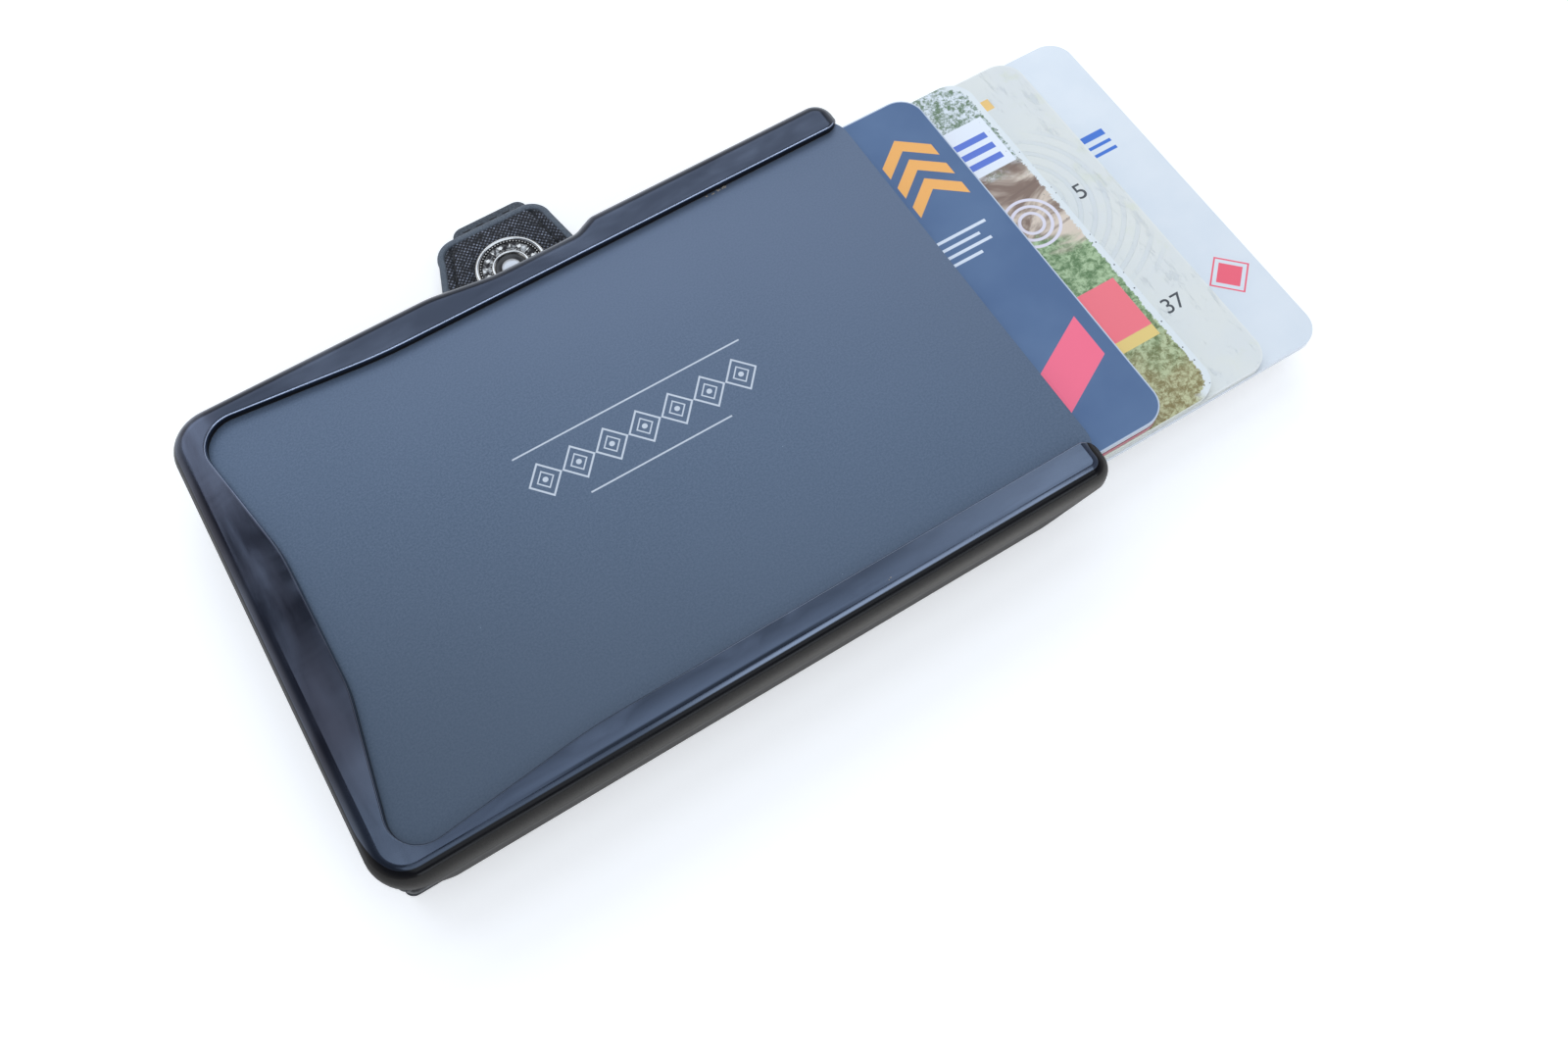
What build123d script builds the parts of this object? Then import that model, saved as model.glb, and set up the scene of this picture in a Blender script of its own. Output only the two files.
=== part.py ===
from build123d import *
import os

# A slim card wallet: a moulded frame that holds two aluminium plates, five cards fanned out of
# its open end, a side slider with stepped pusher strips, and a soft pocket on the back whose
# strap snaps to a canvas tab. Millimetres, +X to the card exit, +Y to the snap tab, +Z up,
# origin at the middle of the pocket's underside.

# Cards
card_names = ["navy_card", "red_card", "photo_card", "cream_card", "white_card"]
card_steps = [0, 0, 1, 2, 3]
card_length = 85.6
card_width = 53.98
card_thickness = 0.76
card_corner_radius = 3.18
card_pitch = 1.0
card_top_gap = 0.1
card_base_gap = 0.14
card_low_play = 0.61
card_high_play = 0.46
card_turn_degrees = -0.3
card_exit_setback = 0.3
fan_start = 10.2
fan_step = 7.97

# Pusher strips, in the channel beside the cards
strip_width = 1.6
strip_clearance = 0.1
finger_thickness = 1.2
finger_length = 7.0
finger_gap = 0.1
peg_size = 0.32
peg_ahead = 3.0
peg_rise = 0.8
slot_clearance = 0.09
slot_end_margin = 1.53
strip_corner_radius = 2.2
lane_offset = 0.38

# Plates
plate_thickness = 1.0
plate_side_margin = 2.5
plate_back_margin = 1.2
plate_exit_radius = 3.5
plate_back_radius = 4.0

# Frame
rim_thickness = 1.1
back_wall = 1.5
low_side_wall = 2.9
high_side_wall = 1.95
frame_corner_radius = 5.0
rail_width = 4.95
rail_end_radius = 2.6
rail_mouth_radius = 2.3
rim_edge_radius = 2.0
base_edge_radius = 0.6
base_inset = 1.2
draft_height = 6.5
draft_corner_extra = 0.8
draft_high_corner_less = 1.4
draft_exit_extra = 4.9
channel_low_corner = 3.8
overrun = 2.0

# Opening in the rim over each plate
opening_flare = 2.5
opening_flare_start = 25.75
opening_back_margin = 2.85
opening_back_bulge = 3.45
opening_bulge_half = 9.0
opening_corner_radius = 3.8
opening_flare_radius = 60.0
opening_bulge_radius = 20.0
opening_edge_radius = 0.25

# Scoop in the rim's outer edge, measured from the snap
scoop_depth = 1.25
scoop_ramp_reach = 11.45
scoop_floor_low_reach = 3.35
scoop_floor_high_reach = 7.55
scoop_step_reach = 10.15
scoop_ramp_radius = 14.0
scoop_step_radius = 2.1

# Thumb slider
button_length = 8.0
button_height = 3.4
button_out = 2.2
button_front = 11.0
button_gap = 0.1
button_edge_radius = 0.7
grip_rib_count = 5
grip_rib_width = 0.5
grip_rib_depth = 0.3
stem_length = 4.0
stem_depth = 1.2
stem_clearance = 0.1
track_height = 3.6
track_wall = 1.05
track_rise = 1.1
slider_pin_radius = 0.4

# Stop, guide bar and brake
bumper_length = 2.0
bumper_gap = 0.1
guide_end_margin = 1.75
guide_height_gap = 0.05
brake_exit_margin = 14.35
brake_spring_length = 38.0
brake_spring_thickness = 0.25
brake_spring_bow = 0.8
brake_spring_height = 3.2
brake_end_gap = 2.0
brake_floor_gap = 0.15
brake_height_gap = 0.4
brake_pad_length = 14.0
brake_pad_thickness = 0.2
brake_gap = 0.05
end_pad_thickness = 0.8
end_pad_low_margin = 3.9
end_pad_finger_gap = 2.15
end_pad_height_gap = 0.1

# Pocket on the back
panel_thickness = 0.9
pocket_back_margin = 0.4
pocket_exit_margin = 5.6
pocket_side_margin = 1.6
pocket_low_side_margin = 2.5
pocket_corner_radius = 1.2
gusset_width = 1.6
mounting_pad_inset = 1.0

# Canvas tab and its bound backing
tab_root_half = 10.9
tab_tip_low = -5.9
tab_tip_high = 8.5
tab_reach = 14.0
tab_corner_radius = 3.0
tab_backing_thickness = 0.7
tab_backing_root = 8.0
tab_canvas_inset = 0.6
tab_canvas_thickness = 0.85
tab_seam_gap = 0.05

# Snap fastener
snap_x = 0.85
snap_edge_gap = 1.15
snap_ring_radius = 4.65
snap_ring_thickness = 0.6
snap_ring_edge_radius = 0.25
snap_hole_radius = 1.9
snap_tube_radius = 1.5
snap_tube_wall = 0.4
snap_stud_drop = 1.2
snap_post_gap = 0.1
snap_post_rise = 0.2
socket_radius = 3.9
socket_thickness = 0.5
socket_play = 0.3
socket_wall = 0.5
socket_gap = 0.1
cap_radius = 4.0
cap_thickness = 0.4

# Closing strap
strap_thickness = 0.7
strap_liner_thickness = 0.4
strap_half_width = 5.3
strap_centre_x = 1.9
strap_reach = 16.8
strap_corner_radius = 1.5
strap_pivot_gap = 1.3
strap_edge_gap = 0.5
strap_root_length = 8.0
strap_root_gap = 0.1
liner_margin = 0.3

# Outer size of the frame, which follows what it holds
lowest_card = len(card_names) - 1
stack_height = card_top_gap + lowest_card * card_pitch + card_thickness + card_base_gap
frame_length = back_wall + finger_thickness + finger_gap + card_length + card_exit_setback
frame_width = (
    low_side_wall + card_low_play + card_width + card_high_play
    + strip_width + strip_clearance + high_side_wall
)
frame_height = (rim_thickness + plate_thickness) * 2 + stack_height
half_length = frame_length / 2
half_width = frame_width / 2
exit_step = card_steps[lowest_card]
full_travel = fan_start + card_exit_setback + fan_step * exit_step
strip_reach = peg_ahead + fan_step + slot_end_margin

# Heights, from the pocket's underside up
pocket_depth = (
    panel_thickness * 2 + strap_thickness + socket_thickness + socket_gap + tab_backing_thickness
)
strap_base = panel_thickness
strap_top = strap_base + strap_thickness
liner_base = strap_base - strap_liner_thickness
inner_panel_base = pocket_depth - panel_thickness
tab_backing_base = inner_panel_base - tab_backing_thickness
canvas_top = inner_panel_base + tab_canvas_thickness
frame_base = pocket_depth
frame_top = frame_base + frame_height
rear_plate_base = frame_base + rim_thickness
rear_plate_top = rear_plate_base + plate_thickness
front_plate_top = frame_top - rim_thickness
front_plate_base = front_plate_top - plate_thickness
stack_middle = (rear_plate_top + front_plate_base) / 2
track_base = frame_base + track_rise
button_base = track_base + (track_height - button_height) / 2

# Places along the frame
plate_back_x = -half_length + plate_back_margin
channel_back_x = -half_length + back_wall
pocket_back_x = -half_length + pocket_back_margin
pocket_exit_x = half_length - pocket_exit_margin
button_middle_x = button_front - button_length / 2
track_back_x = button_front - button_length - full_travel - overrun / 2
brake_middle_x = half_length - brake_exit_margin - brake_end_gap - brake_spring_length / 2

# Places across the frame
opening_half_width = half_width - rail_width
plate_half_width = half_width - plate_side_margin
pocket_half_width = half_width - pocket_side_margin
pocket_low_y = -half_width + pocket_low_side_margin
scoop_y = half_width - scoop_depth
channel_low_y = -half_width + low_side_wall
card_middle_y = channel_low_y + card_low_play + card_width / 2
strip_low_y = card_middle_y + card_width / 2 + card_high_play
strip_high_y = strip_low_y + strip_width
strip_mid_y = (strip_low_y + strip_high_y) / 2
channel_high_y = strip_high_y + strip_clearance
track_floor_y = channel_high_y + track_wall
button_in_y = track_floor_y + button_gap
button_out_y = button_in_y + button_out
pin_y = button_in_y + stem_depth / 2
snap_y = pocket_half_width + snap_edge_gap + snap_ring_radius
tab_tip_y = pocket_half_width + tab_reach
strap_tip_y = pocket_half_width + strap_reach
pivot_y = pocket_half_width + strap_pivot_gap
pivot_z = (liner_base + strap_top) / 2
socket_bore = snap_tube_radius + socket_play
barrel_radius = socket_bore + socket_wall


def slab(face, low, high):
    """A flat outline made solid between two heights."""
    return extrude(Pos(0, 0, low) * face, high - low)


def block(x_low, x_high, y_low, y_high, z_low, z_high):
    """A box from its six faces."""
    size = Box(x_high - x_low, y_high - y_low, z_high - z_low, align=(Align.MIN,) * 3)
    return Pos(x_low, y_low, z_low) * size


def closed_outline(points, radii):
    """A face from its corner points and the radius at each of them."""
    return make_face(FilletPolyline(*points, radius=radii, close=True))


def disc(radius, low, high, x=snap_x, y=snap_y):
    """An upright cylinder between two heights."""
    return Pos(x, y, low) * Cylinder(radius, high - low, align=(Align.CENTER, Align.CENTER, Align.MIN))


def frame_outline():
    """The frame's outer outline, with the scoop beside the snap."""
    points = [
        (-half_length, -half_width),
        (half_length, -half_width),
        (half_length, half_width),
        (snap_x + scoop_step_reach, half_width),
        (snap_x + scoop_floor_high_reach, scoop_y),
        (snap_x - scoop_floor_low_reach, scoop_y),
        (snap_x - scoop_ramp_reach, half_width),
        (-half_length, half_width),
    ]
    radii = [
        frame_corner_radius,
        rail_end_radius,
        rail_end_radius,
        scoop_step_radius,
        scoop_step_radius,
        scoop_ramp_radius,
        scoop_ramp_radius,
        frame_corner_radius,
    ]
    return closed_outline(points, radii)


def drafted_base():
    """The frame's lower part: its walls lean in towards the base, less rounded on the strips' side."""

    def ring(inset):
        low = -half_length + inset
        high = half_length - inset
        side = half_width - inset
        share = inset / base_inset
        low_corner = frame_corner_radius + draft_corner_extra * share
        high_corner = frame_corner_radius - draft_high_corner_less * share
        exit_corner = rail_end_radius + draft_exit_extra * share
        points = [(low, -side), (high, -side), (high, side), (low, side)]
        return closed_outline(points, [low_corner, exit_corner, rail_end_radius, high_corner])

    low_ring = Pos(0, 0, frame_base) * ring(base_inset)
    high_ring = Pos(0, 0, frame_base + draft_height) * ring(0)
    return loft([low_ring, high_ring], ruled=True)


def opening_outline():
    """The opening in the rim: straight along the rails, flared at the closed end's corners."""
    corner_x = -half_length + opening_back_margin
    corner_y = opening_half_width + opening_flare
    bulge_x = corner_x + opening_back_bulge
    outside_y = half_width + overrun
    outside_x = half_length + overrun
    upper = [
        (outside_x, outside_y),
        (half_length, outside_y),
        (half_length, opening_half_width),
        (-half_length + opening_flare_start, opening_half_width),
        (corner_x, corner_y),
        (bulge_x, opening_bulge_half),
    ]
    radii = [
        0,
        0,
        rail_mouth_radius,
        opening_flare_radius,
        opening_corner_radius,
        opening_bulge_radius,
    ]
    lower = [(x, -y) for x, y in reversed(upper)]
    return closed_outline(upper + lower, radii + list(reversed(radii)))


def channel_outline():
    """The channel for cards and strips, rounded at the closed end so that its walls stay whole."""
    exit_x = half_length + overrun
    points = [
        (channel_back_x, channel_low_y),
        (exit_x, channel_low_y),
        (exit_x, channel_high_y),
        (channel_back_x, channel_high_y),
    ]
    return closed_outline(points, [channel_low_corner, 0, 0, strip_corner_radius])


def plate_outline(inset):
    """An aluminium plate, rounded at the exit and tucked under the rim elsewhere."""
    side = plate_half_width - inset
    points = [
        (plate_back_x + inset, -side),
        (half_length - inset, -side),
        (half_length - inset, side),
        (plate_back_x + inset, side),
    ]
    radii = [plate_back_radius, plate_exit_radius, plate_exit_radius, plate_back_radius]
    return closed_outline(points, radii)


def plate_groove(inset, low):
    """The groove that holds a plate, run out through the open end."""
    side = plate_half_width - inset
    back_x = plate_back_x + inset
    exit_x = half_length + overrun
    points = [(back_x, -side), (exit_x, -side), (exit_x, side), (back_x, side)]
    radii = [plate_back_radius, 0, 0, plate_back_radius]
    return slab(closed_outline(points, radii), low, low + plate_thickness)


def stem_heights():
    """The lowest card's level, which the drive strip and its stem share."""
    return strip_base(lowest_card), strip_base(lowest_card) + card_thickness


def strip_base(level):
    """Underside of the card, and of the strip, on one level counted from the top."""
    return front_plate_base - card_top_gap - level * card_pitch - card_thickness


def make_frame():
    outer = slab(frame_outline(), frame_base + draft_height, frame_top)
    outer = fillet(outer.edges().group_by(Axis.Z)[-1], rim_edge_radius)
    lower = drafted_base()
    lower = fillet(lower.edges().group_by(Axis.Z)[0], base_edge_radius)
    scoop = block(
        -half_length - overrun, half_length + overrun, -half_width - overrun, half_width + overrun,
        frame_base - overrun, frame_base + draft_height,
    ) - slab(frame_outline(), frame_base - overrun, frame_base + draft_height)
    body = outer + (lower - scoop)

    body -= slab(channel_outline(), rear_plate_top, front_plate_base)
    body -= plate_groove(0, front_plate_base)
    body -= plate_groove(base_inset, rear_plate_base)
    body -= slab(opening_outline(), frame_base - overrun, rear_plate_base)
    opening = slab(opening_outline(), front_plate_top, frame_top + overrun)
    opened = body - opening
    rim_edges = new_edges(body, opening, combined=opened).group_by(Axis.Z)[-1]
    body = fillet(rim_edges, opening_edge_radius)

    stem_low, stem_high = stem_heights()
    stem_back = button_middle_x - stem_length / 2 - full_travel - stem_clearance
    stem_front = button_middle_x + stem_length / 2 + stem_clearance
    body -= block(
        stem_back, stem_front, channel_high_y - overrun / 2, half_width + overrun,
        stem_low - stem_clearance, stem_high + stem_clearance,
    )
    body -= block(
        track_back_x, button_front + button_gap, track_floor_y, half_width + overrun,
        track_base, track_base + track_height,
    )
    brake_half_length = brake_spring_length / 2 + brake_end_gap
    brake_half_height = brake_spring_height / 2 + brake_height_gap
    spring_depth = brake_gap + brake_pad_thickness + brake_spring_bow + brake_spring_thickness
    return body - block(
        brake_middle_x - brake_half_length, brake_middle_x + brake_half_length,
        channel_low_y - spring_depth - brake_floor_gap, channel_low_y + overrun,
        stack_middle - brake_half_height, stack_middle + brake_half_height,
    )


def make_card(level):
    front_x = half_length + fan_start + fan_step * card_steps[level]
    face = Rot(0, 0, card_turn_degrees) * RectangleRounded(card_length, card_width, card_corner_radius)
    base = strip_base(level)
    return slab(Pos(front_x - card_length / 2, card_middle_y) * face, base, base + card_thickness)


def finger_front(step):
    """Front face of a pusher's finger, where the rear edge of its card rests."""
    return half_length + fan_start + fan_step * step - card_length - finger_gap


def make_strip(level, top_level, lane, has_slot, has_peg, front_x):
    """A flat strip with a finger behind its card, a slot for the peg below and a peg of its own."""
    front = finger_front(card_steps[level])
    base = strip_base(level)
    top = base + card_thickness
    finger_top = strip_base(top_level) + card_thickness
    body = block(front - finger_thickness, front_x, strip_low_y, strip_high_y, base, top)
    body += block(
        front - finger_thickness, front, strip_low_y - finger_length, strip_high_y, base, finger_top
    )
    half_peg = peg_size / 2
    if has_slot:
        slot_half = half_peg + slot_clearance
        slot_y = strip_mid_y - lane * lane_offset
        body -= block(
            front + peg_ahead - slot_half, front + peg_ahead + fan_step + slot_half,
            slot_y - slot_half, slot_y + slot_half, base - overrun, top + overrun,
        )
    if has_peg:
        peg_y = strip_mid_y + lane * lane_offset
        body += block(
            front + peg_ahead - half_peg, front + peg_ahead + half_peg,
            peg_y - half_peg, peg_y + half_peg, top, top + peg_rise,
        )
    back = front - finger_thickness
    centre_x, centre_y = back + strip_corner_radius, strip_high_y - strip_corner_radius
    low, high = base - overrun, finger_top + overrun
    corner = block(back - overrun, centre_x, centre_y, strip_high_y + overrun, low, high)
    return body - (corner - disc(strip_corner_radius, low, high, centre_x, centre_y))


def make_drive_strip():
    """The lowest pusher, with the stem that reaches out through the side wall."""
    stem_low, stem_high = stem_heights()
    stem_front = button_middle_x + stem_length / 2
    body = make_strip(lowest_card, lowest_card, 1, False, True, stem_front)
    stem = block(
        stem_front - stem_length, stem_front,
        strip_high_y, button_in_y + stem_depth, stem_low, stem_high,
    )
    pin_low = button_base - overrun
    return body + stem - disc(slider_pin_radius, pin_low, stem_high + overrun, button_middle_x, pin_y)


def make_button():
    stem_low, stem_high = stem_heights()
    top = button_base + button_height
    body = block(button_front - button_length, button_front, button_in_y, button_out_y, button_base, top)
    outer_edges = body.faces().sort_by(Axis.Y)[-1].edges()
    body = fillet(outer_edges, button_edge_radius)
    rib_pitch = button_length / (grip_rib_count + 1)
    for index in range(grip_rib_count):
        rib_x = button_front - button_length + rib_pitch * (index + 1)
        body -= block(
            rib_x - grip_rib_width / 2, rib_x + grip_rib_width / 2,
            button_out_y - grip_rib_depth, button_out_y + overrun, button_base - overrun, top + overrun,
        )
    body -= block(
        button_middle_x - stem_length / 2, button_middle_x + stem_length / 2,
        button_in_y - overrun, button_in_y + stem_depth, stem_low, stem_high,
    )
    return body - disc(slider_pin_radius, button_base - overrun, top + overrun, button_middle_x, pin_y)


def make_slider_pin():
    return disc(slider_pin_radius, button_base, button_base + button_height, button_middle_x, pin_y)


def make_stop_bumper():
    low_x = button_middle_x + stem_length / 2 + bumper_gap
    return block(
        low_x, low_x + bumper_length, strip_low_y, channel_high_y,
        rear_plate_top, front_plate_base - guide_height_gap,
    )


def make_guide_bar():
    low_x = button_middle_x + stem_length / 2 + bumper_gap + bumper_length
    return block(
        low_x, half_length - guide_end_margin, strip_low_y, channel_high_y,
        rear_plate_top, front_plate_base - guide_height_gap,
    )


def make_brake_spring():
    """A leaf bowed towards the cards, with its ends in the pocket's floor."""
    crown_y = channel_low_y - brake_gap - brake_pad_thickness
    end_y = crown_y - brake_spring_bow
    half = brake_spring_length / 2
    shift = brake_spring_thickness
    low_x, high_x = brake_middle_x - half, brake_middle_x + half
    upper = ThreePointArc((low_x, end_y), (brake_middle_x, crown_y), (high_x, end_y))
    lower = ThreePointArc(
        (low_x, end_y - shift), (brake_middle_x, crown_y - shift), (high_x, end_y - shift)
    )
    sides = [Line(upper @ 0, lower @ 0), Line(upper @ 1, lower @ 1)]
    face = make_face([upper, lower] + sides)
    return slab(face, stack_middle - brake_spring_height / 2, stack_middle + brake_spring_height / 2)


def make_brake_pad():
    high_y = channel_low_y - brake_gap
    return block(
        brake_middle_x - brake_pad_length / 2, brake_middle_x + brake_pad_length / 2,
        high_y - brake_pad_thickness, high_y,
        stack_middle - brake_spring_height / 2, stack_middle + brake_spring_height / 2,
    )


def make_end_pad():
    return block(
        channel_back_x, channel_back_x + end_pad_thickness,
        channel_low_y + end_pad_low_margin, strip_low_y - finger_length - end_pad_finger_gap,
        rear_plate_top + end_pad_height_gap, front_plate_base - end_pad_height_gap,
    )


def pocket_outline(inset=0):
    length = pocket_exit_x - pocket_back_x - inset * 2
    width = pocket_half_width - pocket_low_y - inset * 2
    face = RectangleRounded(length, width, pocket_corner_radius)
    return Pos((pocket_exit_x + pocket_back_x) / 2, (pocket_half_width + pocket_low_y) / 2) * face


def make_gusset():
    """Three-sided wall of the pocket, open towards +Y."""
    low, high = panel_thickness, inner_panel_base
    wall = slab(pocket_outline(), low, high)
    return wall - block(
        pocket_back_x + gusset_width, pocket_exit_x - gusset_width,
        pocket_low_y + gusset_width, pocket_half_width + overrun, low - overrun, high + overrun,
    )


def make_mounting_pad():
    """Foam pad that fills the rear opening between the plate and the pocket."""
    low_x = -half_length + opening_back_margin + opening_back_bulge + mounting_pad_inset
    half = opening_half_width - mounting_pad_inset
    return block(low_x, pocket_exit_x, -half, half, frame_base, rear_plate_base)


def tab_outline(inset, root_y):
    """The tab, wider at its root and slightly turned towards the card exit."""
    reach = tab_tip_y - pocket_half_width
    grow = (root_y - pocket_half_width) / reach
    low_root = -tab_root_half + (tab_tip_low + tab_root_half) * grow
    high_root = tab_root_half + (tab_tip_high - tab_root_half) * grow
    points = [
        (low_root + inset, root_y),
        (high_root - inset, root_y),
        (tab_tip_high - inset, tab_tip_y - inset),
        (tab_tip_low + inset, tab_tip_y - inset),
    ]
    corner = tab_corner_radius - inset
    return closed_outline(points, [0, 0, corner, corner])


def make_tab_backing():
    face = tab_outline(0, pocket_half_width - tab_backing_root)
    hole = disc(snap_tube_radius, tab_backing_base - overrun, canvas_top)
    return slab(face, tab_backing_base, inner_panel_base) - hole


def make_tab_canvas():
    face = tab_outline(tab_canvas_inset, pocket_half_width + tab_seam_gap)
    hole = disc(snap_tube_radius, tab_backing_base, canvas_top + overrun)
    return slab(face, inner_panel_base, canvas_top) - hole


def make_snap_stud():
    """Flange ring on the canvas, tube through the tab and stud below it."""
    ring = disc(snap_ring_radius, canvas_top, canvas_top + snap_ring_thickness)
    ring = fillet(ring.edges().sort_by(Axis.Z)[-1], snap_ring_edge_radius)
    ring -= disc(snap_hole_radius, canvas_top, canvas_top + snap_ring_thickness + overrun)
    ring += disc(snap_hole_radius, canvas_top, canvas_top + snap_ring_edge_radius)
    tube = disc(snap_tube_radius, tab_backing_base - snap_stud_drop, canvas_top)
    bore = snap_tube_radius - snap_tube_wall
    return ring + tube - disc(bore, tab_backing_base, canvas_top + overrun)


def make_snap_post():
    """Domed rivet seen in the hollow of the ring."""
    radius = snap_tube_radius - snap_tube_wall - snap_post_gap
    post = disc(radius, tab_backing_base, canvas_top + snap_post_rise)
    return fillet(post.edges().sort_by(Axis.Z)[-1], snap_ring_edge_radius)


def strap_outline(inset, root_y, tip_y):
    points = [
        (strap_centre_x - strap_half_width + inset, root_y),
        (strap_centre_x + strap_half_width - inset, root_y),
        (strap_centre_x + strap_half_width - inset, tip_y - inset),
        (strap_centre_x - strap_half_width + inset, tip_y - inset),
    ]
    return closed_outline(points, [0, 0, strap_corner_radius, strap_corner_radius])


def make_strap():
    face = strap_outline(0, pivot_y + strap_edge_gap, strap_tip_y)
    return slab(face, strap_base, strap_top) - disc(barrel_radius, liner_base, strap_top + overrun)


def make_strap_liner():
    face = strap_outline(liner_margin, pivot_y + strap_edge_gap, strap_tip_y)
    return slab(face, liner_base, strap_base)


def make_strap_root():
    high_y = pocket_half_width - strap_root_gap
    face = strap_outline(0, high_y - strap_root_length, high_y)
    return slab(face, strap_base, strap_top)


def make_socket():
    flange = disc(socket_radius, strap_top, strap_top + socket_thickness)
    flange = fillet(flange.edges().sort_by(Axis.Z)[-1], snap_ring_edge_radius / 2)
    barrel = disc(barrel_radius, strap_base, strap_top)
    return flange + barrel - disc(socket_bore, strap_base, strap_top + socket_thickness + overrun)


def make_cap():
    cap = disc(cap_radius, liner_base - cap_thickness, liner_base)
    return fillet(cap.edges().sort_by(Axis.Z)[0], snap_ring_edge_radius / 2)


nodes = {
    "frame": make_frame(),
    "front_plate": slab(plate_outline(0), front_plate_base, front_plate_top),
    "rear_plate": slab(plate_outline(base_inset), rear_plate_base, rear_plate_top),
    "end_pad": make_end_pad(),
    "drive_strip": make_drive_strip(),
    "cream_pusher": make_strip(3, 3, -1, True, True, finger_front(card_steps[3]) + strip_reach),
    "photo_pusher": make_strip(2, 2, 1, True, True, finger_front(card_steps[2]) + strip_reach),
    "navy_pusher": make_strip(1, 0, -1, True, False, finger_front(card_steps[1]) + strip_reach),
    "slider_button": make_button(),
    "slider_pin": make_slider_pin(),
    "stop_bumper": make_stop_bumper(),
    "card_guide_bar": make_guide_bar(),
    "brake_spring": make_brake_spring(),
    "brake_pad": make_brake_pad(),
    "pouch_mounting_pad": make_mounting_pad(),
    "pouch_inner_panel": slab(pocket_outline(), inner_panel_base, pocket_depth),
    "pouch_outer_panel": slab(pocket_outline(), 0, panel_thickness),
    "pouch_gusset": make_gusset(),
    "tab_backing": make_tab_backing(),
    "tab_canvas": make_tab_canvas(),
    "snap_stud": make_snap_stud(),
    "snap_post": make_snap_post(),
    "closing_strap": make_strap(),
    "strap_liner": make_strap_liner(),
    "strap_root": make_strap_root(),
    "snap_socket": make_socket(),
    "snap_cap": make_cap(),
}
for level, name in enumerate(card_names):
    nodes[name] = make_card(level)

os.makedirs("parts", exist_ok=True)
for name, solid in nodes.items():
    export_step(solid, f"parts/{name}.step")

print("full travel of the slider", full_travel)
print("strap pivot", pivot_y, pivot_z)
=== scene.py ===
import math
import random

import bmesh
import bpy
from mathutils import Matrix, Vector


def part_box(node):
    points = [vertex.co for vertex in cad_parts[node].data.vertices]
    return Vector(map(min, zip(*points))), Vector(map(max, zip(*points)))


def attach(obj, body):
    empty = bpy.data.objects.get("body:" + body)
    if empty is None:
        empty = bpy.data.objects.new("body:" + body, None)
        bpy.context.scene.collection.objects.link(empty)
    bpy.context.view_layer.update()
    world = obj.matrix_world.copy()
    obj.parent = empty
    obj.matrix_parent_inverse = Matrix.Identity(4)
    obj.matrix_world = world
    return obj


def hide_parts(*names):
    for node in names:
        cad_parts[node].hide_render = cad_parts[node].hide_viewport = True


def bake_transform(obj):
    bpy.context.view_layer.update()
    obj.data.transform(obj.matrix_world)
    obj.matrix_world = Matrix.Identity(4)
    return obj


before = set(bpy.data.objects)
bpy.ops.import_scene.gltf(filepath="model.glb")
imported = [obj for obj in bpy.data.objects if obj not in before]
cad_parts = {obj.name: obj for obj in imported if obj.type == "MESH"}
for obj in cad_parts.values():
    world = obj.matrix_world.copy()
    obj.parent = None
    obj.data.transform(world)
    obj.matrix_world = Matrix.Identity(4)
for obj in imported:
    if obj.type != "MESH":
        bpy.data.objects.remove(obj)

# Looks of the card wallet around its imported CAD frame. Sizes below are in millimetres unless a
# comment says otherwise; meshes are scaled to metres when they are made.
bpy.context.view_layer.update()
MM = 0.001

# Camera, at the photograph's place and angle
camera_place = (-18.274, -69.464, 146.725)
camera_aim = (11.245, -14.149, 6)
camera_lens = 31.17
camera_roll = -3.582

# Lights: place, aim, width, height, brightness of the panel, colour
lights = {
    "overhead": ((20, -215, 655), (10, 0, 8), 640, 500, 1.5, (0.84, 0.92, 1)),
    "low_front": ((60, -590, 380), (10, 0, 8), 700, 120, 3, (0.84, 0.92, 1)),
    "back": ((60, 500, 500), (10, 0, 8), 900, 320, 2, (0.82, 0.9, 1)),
    "top": ((105, 205, 650), (105, 10, 8), 570, 190, 1.5, (0.82, 0.91, 1)),
}
# Brightness of the world at the horizon and overhead, and the heights between which it changes
world_levels = ((1, 1, 1), (0.19, 0.21, 0.26))
world_change = (0.15, 0.75)
# The floor: half its side, its colour, its own light near the object and far from it, and the
# distances from the middle between which that changes
floor_half = 1500
floor_colour = (0.82, 0.82, 0.82)
floor_lift = (0.4, 0.85)
floor_lift_places = (250, 1100)


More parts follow.
